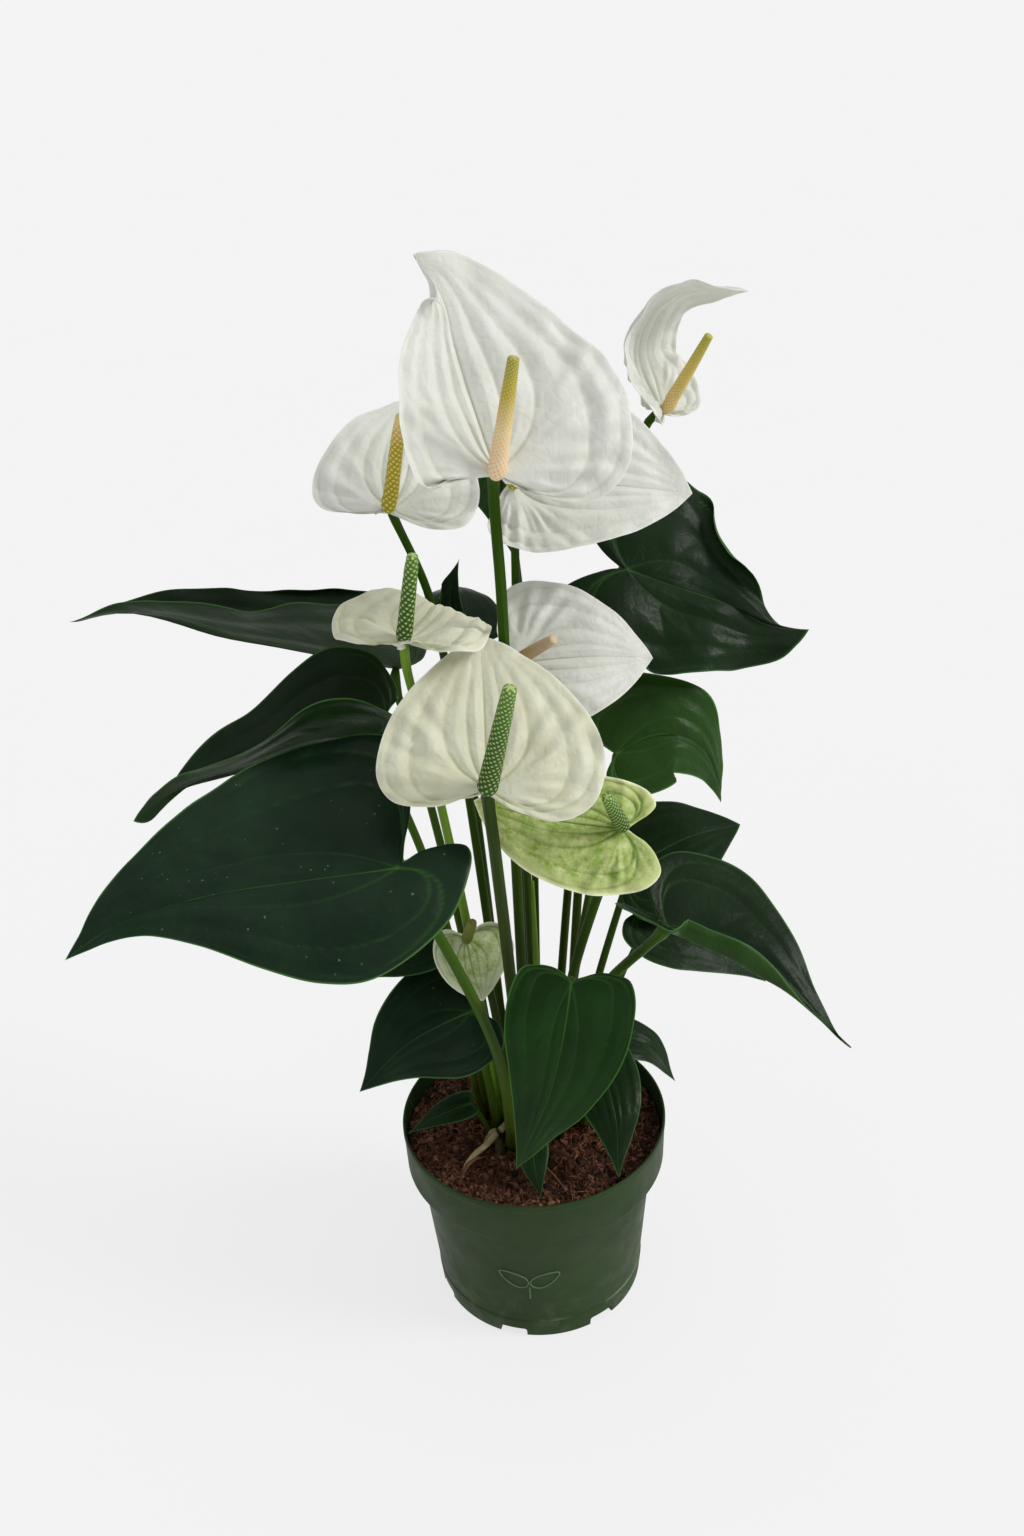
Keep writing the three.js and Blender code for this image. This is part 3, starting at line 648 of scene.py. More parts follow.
# %% The pot's finish
def pot_colour(material):
    place = in_space(material)
    soft = squeeze(material, speckle(material, place, 18.0, 5.0), 0.35, 0.7)
    body = blend(material, soft, colour("#2a3b20"), colour("#324427"))
    height = add_node(material, "SeparateXYZ", {"Vector": place}).outputs["Z"]
    low = squeeze(material, height, 0.0, 0.05, 0.45, 0.0)
    dust = times(material, low, squeeze(material, speckle(material, place, 70.0, 6.0), 0.5, 0.7))
    body = blend(material, dust, body, colour("#5d664c"))
    stretched = add_node(material, "Mapping", {"Vector": place, "Scale": (60, 60, 700)})
    scratch = speckle(material, stretched.outputs["Vector"], 1.0, 2.0, 0.5)
    patch = squeeze(material, speckle(material, place, 26.0), 0.55, 0.68)
    line = {0: height, 1: 15 * MM, 2: 0.9 * MM}
    band = add_node(material, "Math", line, operation="COMPARE").outputs[0]
    body = blend(material, times(material, band, patch), body, colour("#66745a"))
    scuff = times(material, squeeze(material, scratch, 0.66, 0.74, 0.0, 0.5), patch)
    body = blend(material, scuff, body, colour("#6c7d62"))
    grit = squeeze(material, speckle(material, place, 900.0, 1.0), 0.72, 0.76, 0.0, 0.5)
    return blend(material, grit, body, colour("#2a2018"))


pot_grain = (grain(in_space, 1400.0, 2.0), 0.06 * MM)
pot_plastic = new_finish(
    "pot_plastic",
    pot_colour,
    uneven_gloss(in_space, 40.0, 4.0, 0.42, 0.62),
    [(grain(in_space, 55.0, 2.0), 0.35 * MM), pot_grain],
    Specular_IOR_Level=0.08,
)
mark_plastic = new_finish(
    "mark_plastic",
    lambda m: blend(m, speckle(m, in_space(m), 60.0), colour("#4f6447"), colour("#64785a")),
    0.5,
    [pot_grain],
    Specular_IOR_Level=0.1,
)


# %% Finishes of the mix, the roots and the crown
def earthy(name, dark, light, fibre, size):
    def make(material):
        soft = speckle(material, in_space(material), 90.0, 6.0, 0.7)
        body = blend(material, squeeze(material, soft, 0.35, 0.68), colour(dark), colour(light))
        return blend(material, times(material, stored(material, "tone"), 0.85), body, colour(fibre))

    crumbs = [(grain(in_space, size, 6.0, 0.75), 1.2 * MM)]
    return new_finish(name, make, 0.9, crumbs, Specular_IOR_Level=0.2)


coir = earthy("coir", "#1b0f0a", "#4a2c20", "#a67358", 700.0)
root_skin = earthy("root_skin", "#8f8058", "#b9a87e", "#cbbb92", 500.0)
dry_sheath = earthy("dry_sheath", "#4a2a20", "#6b3f30", "#8a6a4a", 260.0)
stem_base = earthy("stem_base", "#3f4026", "#5a5a34", "#7c7448", 300.0)
print("pot and mix finishes made")

# %% [markdown]
# ## Pieces
#
# Every piece goes through one function. It makes the mesh, stores the extra numbers for the
# finish, lets the piece ride on the plant's one body, and hides the CAD nodes it stands for.

# %% From points and faces to a piece
def put_in_scene(name, data):
    thing = bpy.data.objects.new(name, data)
    bpy.context.scene.collection.objects.link(thing)
    return thing


def put_piece(
    name, points, faces, finishes, slot, stands_for, numbers=(), faces_of=None, flat=False
):
    """A piece. `numbers` are stored on its points, and `faces_of` gives each face its finish."""
    mesh = bpy.data.meshes.new(name)
    mesh.from_pydata([tuple(p) for p in points], [], faces)
    for finish in finishes:
        mesh.materials.append(finish)
    if faces_of is not None:
        mesh.polygons.foreach_set("material_index", np.asarray(faces_of, np.int32))
    mesh.polygons.foreach_set("use_smooth", np.full(len(mesh.polygons), not flat))
    for key, values in dict(numbers).items():
        values = np.asarray(values, np.float32)
        kind, field = ("FLOAT_VECTOR", "vector") if values.ndim == 2 else ("FLOAT", "value")
        mesh.attributes.new(key, kind, "POINT").data.foreach_set(field, values.ravel())
    mesh.update()
    piece = put_in_scene(name, mesh)
    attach(piece, "root")
    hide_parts(*stands_for)
    return piece


# %% [markdown]
# Blades, stalks, spadices, roots, the pot and the bed of mix are all made alike: closed rows of
# points, one after another, with a fan of triangles to a middle point at each end.

# %% Faces through rows of points
def band_faces(first, second, turned):
    """Four-sided faces between two closed rows of point numbers."""
    following = np.roll(np.arange(len(first)), -1)
    quads = [(first[i], second[i], second[j], first[j]) for i, j in enumerate(following)]
    return [quad[::-1] for quad in quads] if turned else quads


def cap_faces(row, middle, turned):
    following = np.roll(np.arange(len(row)), -1)
    faces = [(middle, row[i], row[j]) for i, j in enumerate(following)]
    return [face[::-1] for face in faces] if turned else faces


def closed_faces(rows, first, last, turned):
    """The bands between the rows, then the fans to the point numbers `first` and `last`."""
    faces = []
    for row, after in zip(rows, rows[1:]):
        faces += band_faces(row, after, turned)
    return faces + cap_faces(rows[0], first, turned) + cap_faces(rows[-1], last, not turned)


# %% [markdown]
# ## Blades
#
# The net is too coarse for what gives a blade its look. Some margins roll up into a tube, as the
# tip of the topmost spathe does. The fold at the midrib is rounder on a spathe than on a leaf.
# And a spathe's lobes bulge between its veins. Cloth simulation could crumple a sheet, but it
# would not put a roll where this plant has one, so each is a move of the points in code.

# %% Rolled margins, a softer fold and bulging lobes
def curled(sheet, normals, lengths, angles, curl):
    """The margin rolled up between two angles of the blade: how wide a strip, and how tight."""
    start, end, width, radius = curl
    share = np.clip(np.minimum(angles - start, end - angles) / 0.4, 0, 1)
    share = share * share * (3 - 2 * share)
    for k in np.nonzero(share > 0.02)[0]:
        begin = lengths[-1, k] - width * share[k]
        past = lengths[:, k] > begin
        first = int(np.argmax(past))
        origin = [np.interp(begin, lengths[:, k], sheet[:, k, axis]) for axis in range(3)]
        way = sheet[first, k] - sheet[first - 2, k]
        way /= np.linalg.norm(way)
        turn = ((lengths[past, k] - begin) / radius)[:, None]
        rise = (1 - np.cos(turn)) * normals[first - 1, k]
        sheet[past, k] = np.array(origin) + radius * (np.sin(turn) * way + rise)
    return sheet


def softened(sheet, angles, rings, passes):
    """The sheet with the fold along its midrib rounded, but not at the tip."""
    hold = (1 - rings[:, None] ** 6) * np.exp(-((angles / 0.3) ** 2))[None]
    for _ in range(passes):
        beside = (np.roll(sheet, 1, axis=1) + np.roll(sheet, -1, axis=1)) / 2
        sheet = sheet + (beside - sheet) * 0.8 * hold[..., None]
    return sheet


def bulges(angles, lengths, rings, seed):
    """Bulges across the lobes, between the veins: 24 mm apart along them and 8 mm across."""
    side = np.clip((abs(angles) - 0.35) / 0.6, 0, 1) * np.clip((2.6 - abs(angles)) / 0.6, 0, 1)
    rows = []
    for share, row in zip(rings, lengths):
        ready = np.clip((share - 0.3) / 0.25, 0, 1) * np.clip((1 - share) / 0.08, 0, 1)
        spots = zip(angles * lengths[-1].mean() / (8 * MM), row / (24 * MM))
        waves = np.array([noise.noise(Vector((x, y, seed))) for x, y in spots])
        rows.append(ready * side * waves)
    return np.array(rows)


# %% [markdown]
# The styles say how a kind of blade differs from the others. Lengths are in metres, and shares
# run from 0 at the stalk to 1 at the margin or the tip.

# %% How each kind of blade is finished
LEAF_STYLE = {
    # how fine the sheet is, and how thick
    "rings": 44,
    "per_ray": 10,
    "thick": 0.65 * MM,
    # where the veins run and how wide they are, how soon the groove and the colour fade along
    # them, and how much paler the minor ones are
    "outer": (1.0, 0.72),
    "inner": (0.36,),
    "sides": (0.12, 0.26, 0.4, 0.54, 0.68),
    "vein": 0.65 * MM,
    "fade": 0.75,
    "colour_fade": 2.6,
    "quiet": 6,
    # the quilting between the veins: how high, and how far from a vein it is full
    "quilt": 1.9 * MM,
    "pillow": 9.0 * MM,
    "groove": 0.35 * MM,
    "calm_tip": 10 * MM,
    # unevenness all over, and waves that grow towards the margin
    "rumple": 1.3 * MM,
    "rumple_size": 34 * MM,
    "frill": 3.0 * MM,
    "frill_size": 24 * MM,
    "frill_start": 6,
    # the ring round the spadix's foot, the passes that round the fold, and the bulges
    "collar": 0.0,
    "soften": 3,
    "bulge": 0.0,
}
SMALL_LEAF_STYLE = {**LEAF_STYLE, "rings": 28, "per_ray": 8}
SPATHE_STYLE = {
    **LEAF_STYLE,
    "rings": 50,
    "per_ray": 13,
    "thick": 0.8 * MM,
    "outer": (1.0, 0.76),
    "inner": (0.5, 0.25),
    "sides": (),
    "vein": 0.75 * MM,
    "fade": 0.8,
    "colour_fade": 1.2,
    "quiet": 1,
    "quilt": 3.0 * MM,
    "pillow": 6.5 * MM,
    "groove": 1.0 * MM,
    "calm_tip": 26 * MM,
    "rumple": 1.6 * MM,
    "rumple_size": 12 * MM,
    "frill_size": 18 * MM,
    "collar": 1.6 * MM,
    "soften": 26,
    "bulge": 4.0 * MM,
}
FRILLY_STYLE = {**SPATHE_STYLE, "frill": 20 * MM, "frill_size": 30 * MM, "frill_start": 2.5}

# %% [markdown]
# A blade is two sheets that meet in a rounded margin. The upper one carries the relief. The lower
# one is a thickness further down, with the veins standing out instead of in, as they do on a leaf.

# %% The two faces of a blade
COLLAR_WIDTH = 4.5 * MM
CALM_POLE = 4 * MM
UNDER_RELIEF = 1.4 * 0.25  # how much of the upper relief shows from below


def two_faces(sheet, up, angles, lengths, rings, style, seed):
    """The upper and lower face, with each point's flat place and how much of a vein it is."""
    reach = lengths[-1]
    flat = np.stack([np.sin(angles) * lengths, np.cos(angles) * lengths], axis=2)
    lines = vein_lines(angles, reach, style["outer"], style["inner"], style["sides"])
    height, vein = relief_of(flat, lines, style)
    size = min(1.0, reach.max() / (100 * MM))
    to_tip = np.hypot(flat[..., 0], flat[..., 1] - np.interp(0, angles, reach))
    height = height * size * (1 - np.exp(-((to_tip / style["calm_tip"]) ** 2)))
    share = rings[:, None]
    height = height * (1 - share**14)
    uneven = rumple(flat, seed, style["rumple_size"]) * style["rumple"] * size
    frill = rumple(flat, seed + 7.3, style["frill_size"]) * style["frill"] * size
    calm = 1 - np.exp(-lengths / CALM_POLE)
    lift = (height + uneven * (0.3 + 0.7 * share)) * calm
    lift += share ** style["frill_start"] * frill
    lift += style["collar"] * np.exp(-((lengths / COLLAR_WIDTH) ** 2))
    if style["bulge"]:
        lift += style["bulge"] * size * bulges(angles, lengths, rings, seed)
    normals = sheet_normals(sheet, up)
    upper = sheet + normals * lift[..., None]
    thick = style["thick"] * np.sqrt(np.clip(1 - share**40, 0, 1))
    lower = upper - normals * (thick + UNDER_RELIEF * height * calm)[..., None]
    return upper, lower, flat, vein


# %% A finished blade
def make_blade(name, node, rays, style, finishes, slot, stalk_end, seed):
    """A blade in place of a CAD node. Gives the point over its stalk on both of its faces."""
    net, up = blade_net(node, rays, stalk_end)
    rings = fine_rings(style["rings"])
    sheet = smooth_sheet(net, style["per_ray"], rings)
    angles = ray_angles(net, style["per_ray"])
    steps = np.linalg.norm(np.diff(sheet, axis=0), axis=2)
    lengths = np.concatenate([np.zeros((1, steps.shape[1])), np.cumsum(steps, axis=0)])
    sheet = softened(sheet, angles, rings, style["soften"])
    for curl in CURLS.get(name, ()):
        sheet = curled(sheet, sheet_normals(sheet, up), lengths, angles, curl)
    upper, lower, flat, vein = two_faces(sheet, up, angles, lengths, rings, style, seed)

    count, last = len(angles), len(rings) - 1
    way_back = [r for r in range(1, last) if r % 2 or r > last - 4][::-1]
    way = [*range(1, last + 1), *way_back]

    def along(values, at_pole):
        """A number for each point: over the upper face to the margin, and back below."""
        return np.concatenate([[at_pole], values[way].reshape(-1, *values.shape[2:]), [at_pole]])

    spots = np.dstack([flat, np.full(flat.shape[:2], seed)])
    edge = (1 - rings[:, None]) * lengths[-1]
    numbers = {
        "flat": along(spots, [0, 0, seed]),
        "vein": along(vein, 1.0),
        "edge": along(edge, lengths[-1].mean()),
    }
    middle_rows = np.concatenate([upper[1:], lower[way_back]]).reshape(-1, 3)
    points = np.concatenate([upper[0, :1], middle_rows, lower[0, :1]])
    rows = 1 + np.arange(len(way) * count).reshape(-1, count)
    across = np.cross(sheet[3, 1] - sheet[3, 0], sheet[4, 0] - sheet[3, 0])
    turned = across @ sheet_normals(sheet, up)[3, 0] > 0
    faces = closed_faces(rows, 0, len(points) - 1, turned)
    face_counts = np.array([last - 1, len(way_back), 1, 1]) * count
    faces_of = np.repeat([0, 1, 0, 1], face_counts)
    piece = put_piece(name, points, faces, finishes, slot, [node], numbers, faces_of)
    print(piece.name, len(piece.data.polygons), "faces")
    return {"base": lower[0, 0], "top": upper[0, 0]}


# %% [markdown]
# ## Flowers and leaves
#
# The tables say which finish each blade wears, and where its margin rolls up: from which angle to
# which, how wide a strip, and the radius of the roll. The stalk's upper end, read from its own
# CAD node, tells which of a blade's two poles is the upper one: the one further from the stalk.

# %% Spathes
CURLS = {
    "spathe_1": [(-0.06, 0.3, 34 * MM, 4.5 * MM)],
    "leaf_blade_9": [(0.1, 1.35, 12 * MM, 4.5 * MM), (-1.8, -0.8, 9 * MM, 4.5 * MM)],
    "leaf_blade_6": [(-1.6, -0.05, 15 * MM, 6.5 * MM)],
    "leaf_blade_1": [(-1.3, -0.3, 9 * MM, 6 * MM)],
}
COLOURED_SPATHES = {
    5: (cream_spathe, "cream_spathe"),
    7: (cream_spathe, "cream_spathe"),
    8: (turning_spathe, "green_spathe"),
    9: (budding_spathe, "green_spathe"),
}
STALK_SIDES = 8  # of a CAD stalk


def top_of(node):
    centres, _ = tube_line(node, STALK_SIDES)
    return centres[-1]


joints = {}
for number in range(1, 10):
    finish, slot = COLOURED_SPATHES.get(number, (white_spathe, "white_spathe"))
    joints[f"flower_{number}"] = make_blade(
        f"spathe_{number}",
        f"flower_{number}_spathe",
        20,
        FRILLY_STYLE if number == 5 else SPATHE_STYLE,
        [finish, finish],
        slot,
        top_of(f"flower_{number}_stalk"),
        3.1 * number,
    )

# %% Leaves
LEAF_FINISHES = {3: old_leaf, 4: old_leaf, 5: young_leaf, 8: pale_leaf}
for number in range(1, 19):
    small = number > 9
    top = LEAF_FINISHES.get(number, dark_leaf)
    joints[f"leaf_{number}"] = make_blade(
        f"leaf_blade_{number}",
        f"leaf_{number}" if small else f"leaf_{number}_blade",
        20 if small else 24,
        SMALL_LEAF_STYLE if small else LEAF_STYLE,
        # leaves 1 and 2 wear an underside darkened with painted shade
        [top, painted_shade_underside if number < 3 else leaf_underside],
        "young_leaf" if number in (5, 8) else "dark_leaf",
        None if small else top_of(f"leaf_{number}_stalk"),
        50 + 2.7 * number,
    )

# %% [markdown]
# ## Stalks
#
# A stalk is a tube along the centres of its CAD rings. We carry it on at both ends, into the
# crown and up to the blade. A leaf's stalk also swells just under the blade, where the real one
# has the joint that turns the leaf to the light, and every stalk is thicker where it leaves
# the crown.

# %% A tube along a line
SIDES = 18


def tube_points(centres, radii, sides=SIDES, squash=1.0):
    """Rings of points round a line. A squashed tube is wider than it is deep."""
    tangents = np.gradient(centres, axis=0)
    tangents /= np.linalg.norm(tangents, axis=1)[:, None]
    across = np.cross(tangents[0], [0.3, 1.0, 0.1])
    rings = []
    turns = np.linspace(0, 2 * np.pi, sides, endpoint=False)
    for centre, way, radius in zip(centres, tangents, radii):
        across = across - (across @ way) * way
        across /= np.linalg.norm(across)
        over = np.cross(way, across) * squash
        ring = np.cos(turns)[:, None] * across + np.sin(turns)[:, None] * over
        rings.append(centre + radius * ring)
    return np.array(rings)


def tube_mesh(rings):
    """Points and faces of a closed tube from its rings."""
    steps, sides, _ = rings.shape
    ends = [rings[0].mean(0), rings[-1].mean(0)]
    points = np.concatenate([rings.reshape(-1, 3), ends])
    rows = np.arange(steps * sides).reshape(steps, sides)
    return points, closed_faces(rows, steps * sides, steps * sides + 1, True)


def length_along(centres):
    return np.r_[0, np.cumsum(np.linalg.norm(np.diff(centres, axis=0), axis=1))]


def streaked_tube(
    name, line, radii, places, finish, slot, stands_for, streaks, seed, squash=1.0, keys=("along",)
):
    """A piece along a line, whose finish runs in streaks. `places` are lengths along the line, and
    `streaks` says how many there are round the tube and how soon they end."""
    points, faces = tube_mesh(tube_points(line, radii, SIDES, squash))
    turns = np.linspace(0, 2 * np.pi, SIDES, endpoint=False)
    many, soon = streaks
    flat = [
        np.stack([np.cos(turns) * many, np.sin(turns) * many, np.full(SIDES, seed + soon * s)], 1)
        for s in places
    ]
    along = np.r_[np.repeat(places / places[-1], SIDES), 0, 1]
    numbers = {"flat": np.concatenate([*flat, [[0, 0, seed]] * 2])}
    for key in keys:
        numbers[key] = along
    put_piece(name, points, faces, [finish], slot, stands_for, numbers)


# %% Flower and leaf stalks
FLOWER_STALKS = {5: pale_stalk, 7: olive_stalk, 9: olive_stalk}
SMALL_STALK_ROWS = 7  # of a small leaf's CAD node, before its blade begins
INTO_CROWN = 5 * MM
STALK_STREAKS = (3, 12)


def make_stalk(name, node, joint, finish, slot, knee, seed, rows=None):
    """A stalk in place of a CAD one. `knee` is how much it swells just under the blade."""
    centres, radii = tube_line(node, STALK_SIDES, rows=rows)
    down = centres[0] - centres[1]
    foot = centres[0] + down / np.linalg.norm(down) * INTO_CROWN
    centres = np.concatenate([[foot], centres, [joint["base"]]])
    radii = np.r_[radii[0], radii, radii[-1] * 0.8]
    spots = length_along(centres)
    places = np.linspace(0, spots[-1], max(24, int(spots[-1] / (6 * MM))))
    to_top = spots[-1] - places
    radius = np.interp(places, spots, radii)
    radius = radius * (1 + knee * np.exp(-(((to_top - 9 * MM) / (8 * MM)) ** 2)))
    radius = radius * (1 + 0.55 * np.exp(-places / (14 * MM)))
    line = curve_through(centres, spots, places)
    streaked_tube(name, line, radius, places, finish, slot, [node], STALK_STREAKS, seed)


for number in range(1, 10):
    name, node = f"flower_stalk_{number}", f"flower_{number}_stalk"
    finish = FLOWER_STALKS.get(number, green_stalk)
    joint = joints[f"flower_{number}"]
    make_stalk(name, node, joint, finish, "flower_stalk", 0.12, 4.0 * number)

for number in range(1, 19):
    small = number > 9
    name, node = f"leaf_stalk_{number}", f"leaf_{number}" if small else f"leaf_{number}_stalk"
    knee, rows = (0.4, SMALL_STALK_ROWS) if small else (0.45, None)
    joint, seed = joints[f"leaf_{number}"], 90 + 4.0 * number
    make_stalk(name, node, joint, leaf_stalk, "leaf_stalk", knee, seed, rows)
print("stalks made")

# %% [markdown]
# ## Spadices
#
# The florets sit where sunflower seeds would: each a golden angle round from the last and a
# little further along. Where two florets meet there is a fine groove, and each one ends in a
# blunt dome. We push the surface out by the nearest floret's dome.

# %% The domes of the florets
GOLDEN = math.pi * (3 - math.sqrt(5))
SPADIX_STEPS, SPADIX_SIDES = 170, 84


def floret_domes(places, radius, floret):
    """How high on its floret's dome each point of a spadix is, from 0 to 1."""
    rise = floret**2 / (2 * np.pi * radius.mean())
    seeds = np.arange(int(places[-1] / rise) + 20)
    seed_along = (seeds - 10) * rise
    seed_turn = (seeds * GOLDEN) % (2 * np.pi)
    turns = np.linspace(0, 2 * np.pi, SPADIX_SIDES, endpoint=False)
    domes = []
    for place, r in zip(places, radius):
        close = np.abs(seed_along - place) < 2 * floret
        away = np.abs(turns[:, None] - seed_turn[close][None])
        away = np.minimum(away, 2 * np.pi - away) * r
        apart = np.sqrt(away**2 + (seed_along[close][None] - place) ** 2)
        domes.append(np.clip(1 - (apart.min(axis=1) / (0.62 * floret)) ** 2, 0, 1))
    return np.array(domes)


def make_spadix(name, node, base, floret, finish, slot):
    """A spadix in place of a CAD one, carried on down to the base on its spathe."""
    centres, radii = tube_line(node, 10, foot_near=base)
    centres = np.concatenate([[base], centres])
    radii = np.r_[radii[0] * 0.9, radii]
    spots = length_along(centres)
    total = spots[-1]
    places = np.linspace(0, total, SPADIX_STEPS)
    line = curve_through(centres, spots, places)
    end = np.clip((total - places) / radii[-1], 0, 1)
    radius = np.interp(places, spots, np.maximum(radii, radii.mean() * 0.72))
    radius = radius * np.sqrt(np.clip(1 - (1 - end) ** 2, 0.0025, 1))
    radius = radius * (0.8 + 0.2 * np.clip(places / (4 * MM), 0, 1))
    domes = floret_domes(places, radius, floret)
    rings = tube_points(line, radius, SPADIX_SIDES)
    outwards = rings - line[:, None]
    outwards /= np.linalg.norm(outwards, axis=2)[..., None] + 1e-12
    fade = np.clip(end * 2, 0, 1)[:, None]
    rings = rings + outwards * (np.sqrt(domes) * 0.16 * floret * fade)[..., None]
    points, faces = tube_mesh(rings)
    skin_spots = rings.reshape(-1, 3) * 900
    numbers = {
        "flat": np.concatenate([skin_spots, skin_spots[:2]]),
        "along": np.r_[np.repeat(places / total, SPADIX_SIDES), 0, 1],
        "floret": np.r_[domes.ravel(), 0, 1],
    }
    return put_piece(name, points, faces, [finish], slot, [node], numbers)


# %% Spadices with their florets
SPADIX_FINISHES = {
    1: (1.6 * MM, blush_spadix, "pale_spadix"),
    2: (2.3 * MM, golden_spadix, "pale_spadix"),
    3: (2.3 * MM, golden_spadix, "pale_spadix"),
    4: (1.6 * MM, peach_spadix, "pale_spadix"),
    5: (2.4 * MM, green_spadix, "green_spadix"),
    6: (1.6 * MM, tan_spadix, "pale_spadix"),
    7: (2.3 * MM, green_spadix, "green_spadix"),
    8: (2.0 * MM, green_spadix, "green_spadix"),
    9: (1.6 * MM, olive_spadix, "green_spadix"),
}
for number, settings in SPADIX_FINISHES.items():
    base = joints[f"flower_{number}"]["top"]
    piece = make_spadix(f"spadix_{number}", f"flower_{number}_spadix", base, *settings)
print("spadices made, each of", len(piece.data.polygons), "faces")

# %% [markdown]
# ## The nursery pot
#
# The pot is a turned shape with a thin wall: a wide collar to stack it by, a body that tapers to
# a foot band, and notches in the foot to drain through. We round the corners of its outline,
# turn it, and cut the notches out as a moulder would. Its sizes come from the CAD pot's box.

# %% The pot's outline
pot_low, pot_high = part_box("nursery_pot")
RIM = (pot_high.x - pot_low.x) / 2
TALL = pot_high.z
WALL = 1.5 * MM
COLLAR = TALL - 31 * MM
NECK = RIM - 8.7 * MM
FOOT = 67 * MM
FOOT_BAND = 14 * MM
FLOOR_TOP = 2.4 * MM


def body_radius(z):
    return FOOT + (NECK - FOOT) * z / COLLAR


POT_CORNERS = [  # distance from the axis, height, and the corner's radius in millimetres
    (0, 0, 0),
    (FOOT + 0.6 * MM, 0, 1.2),
    (body_radius(FOOT_BAND) + 0.6 * MM, FOOT_BAND, 0.5),
    (body_radius(FOOT_BAND + MM), FOOT_BAND + MM, 0.4),
    (NECK, COLLAR, 1.0),
    (RIM - 1.2 * MM, COLLAR + 0.4 * MM, 1.0),
    (RIM - 0.4 * MM, TALL - 5 * MM, 0.4),
    (RIM, TALL - 4.4 * MM, 0.5),
    (RIM, TALL, 0.8),
    (RIM - WALL, TALL, 0.6),
    (RIM - 1.2 * MM - WALL, COLLAR + WALL, 1.0),
    (NECK - WALL, COLLAR, 1.0),
    (body_radius(COLLAR - 3 * MM) - WALL, COLLAR - 3 * MM, 1.0),
    (FOOT - WALL, FLOOR_TOP, 1.0),
    (0, FLOOR_TOP, 0),
]


def rounded_outline(corners, steps=4):
    """The outline with each corner replaced by a small curve."""
    line = []
    for i, (r, z, radius) in enumerate(corners):
        here = np.array([r, z])
        if radius == 0:
            line.append(here)
            continue
        ends = []
        for other in (corners[i - 1], corners[i + 1]):
            way = np.array(other[:2]) - here
            size = np.linalg.norm(way)
            ends.append(here + way / size * min(radius * MM, 0.45 * size))
        for t in np.linspace(0, 1, steps):
            line.append((1 - t) ** 2 * ends[0] + 2 * t * (1 - t) * here + t**2 * ends[1])
    return np.array(line)


# %% Turning the pot
POT_SIDES = 168


def turned_solid(outline, sides):
    """Points and faces of a turned solid whose outline starts and ends on the axis."""
    turns = np.linspace(0, 2 * np.pi, sides, endpoint=False)
    r, z = outline[1:-1].T
    around = [np.outer(r, np.cos(turns)), np.outer(r, np.sin(turns)), np.outer(z, np.ones(sides))]
    ends = [[0, 0, outline[0][1]], [0, 0, outline[-1][1]]]
    points = np.concatenate([np.stack(around, axis=2).reshape(-1, 3), ends])
    rows = np.arange(len(r) * sides).reshape(-1, sides)
    return points, closed_faces(rows, len(points) - 2, len(points) - 1, True)


points, faces = turned_solid(rounded_outline(POT_CORNERS), POT_SIDES)
pot = put_piece("pot", points, faces, [pot_plastic], "pot", ["nursery_pot"])
print("pot, still whole:", len(pot.data.polygons), "faces")

# %% Cutting the notches
NOTCHES, NOTCH_WIDE, NOTCH_TALL, NOTCH_TURN = 7, 18 * MM, 6.5 * MM, -0.3
NOTCH_CORNER = 1.8 * MM

web = bmesh.new()
for i in range(NOTCHES):
    angle = NOTCH_TURN + i * 2 * math.pi / NOTCHES
    spin = Matrix.Rotation(angle, 4, "Z") @ Matrix.Translation((0, -FOOT, 0))
    size = Matrix.Diagonal((NOTCH_WIDE, NOTCH_WIDE, 2 * NOTCH_TALL, 1))
    made = bmesh.ops.create_cube(web, size=1.0, matrix=spin @ size)
    sharp = list({edge for v in made["verts"] for edge in v.link_edges})
    bmesh.ops.bevel(
        web, geom=sharp, offset=NOTCH_CORNER, segments=3, affect="EDGES", profile=0.5
    )
cutter_mesh = bpy.data.meshes.new("notch_cutter")
web.to_mesh(cutter_mesh)
web.free()
cutter = put_in_scene("notch_cutter", cutter_mesh)
cut = pot.modifiers.new("notches", "BOOLEAN")
cut.object = cutter
cut.operation = "DIFFERENCE"
cut.solver = "EXACT"
bpy.context.view_layer.update()
view = bpy.context.evaluated_depsgraph_get()
pot.data = bpy.data.meshes.new_from_object(pot.evaluated_get(view))
pot.modifiers.clear()
bpy.data.objects.remove(cutter)
pot.data.set_sharp_from_angle(angle=math.radians(38))
print("pot:", len(pot.data.polygons), "faces")

# %% [markdown]
# The pot has a small raised mark on its front. A plain sprout, two leaves on a stem, takes
# its place here: thin rods laid on the wall.

# %% A raised sprout on the pot's front
SPROUT_X, SPROUT_Z = -8 * MM, 50 * MM
SPROUT_LEAN = math.radians(32)
ROD_RADIUS = 0.55 * MM


def on_wall(x, z, proud=0.15 * MM):
    """A point of the front wall, x to the right and z up from the table."""
    radius = body_radius(z) + proud
    angle = -math.pi / 2 + x / radius
    return np.array([radius * math.cos(angle), radius * math.sin(angle), z])


def sprout_leaf(side):
    t = np.linspace(0, 2 * np.pi, 33)
    x = 12 * MM + 10.5 * MM * np.cos(t)
    z = 5.2 * MM * np.sin(t) * (1 - 0.35 * np.cos(t))
    across = x * math.cos(SPROUT_LEAN) - z * math.sin(SPROUT_LEAN)
    rise = x * math.sin(SPROUT_LEAN) + z * math.cos(SPROUT_LEAN)
    return [on_wall(side * a + SPROUT_X, SPROUT_Z + r) for a, r in zip(across, rise)]


def joined(meshes):
    """Several (points, faces) as one."""
    points, faces = [], []
    for more_points, more_faces in meshes:
        faces += [tuple(int(k) + len(points) for k in face) for face in more_faces]
        points.extend(more_points)
    return points, faces


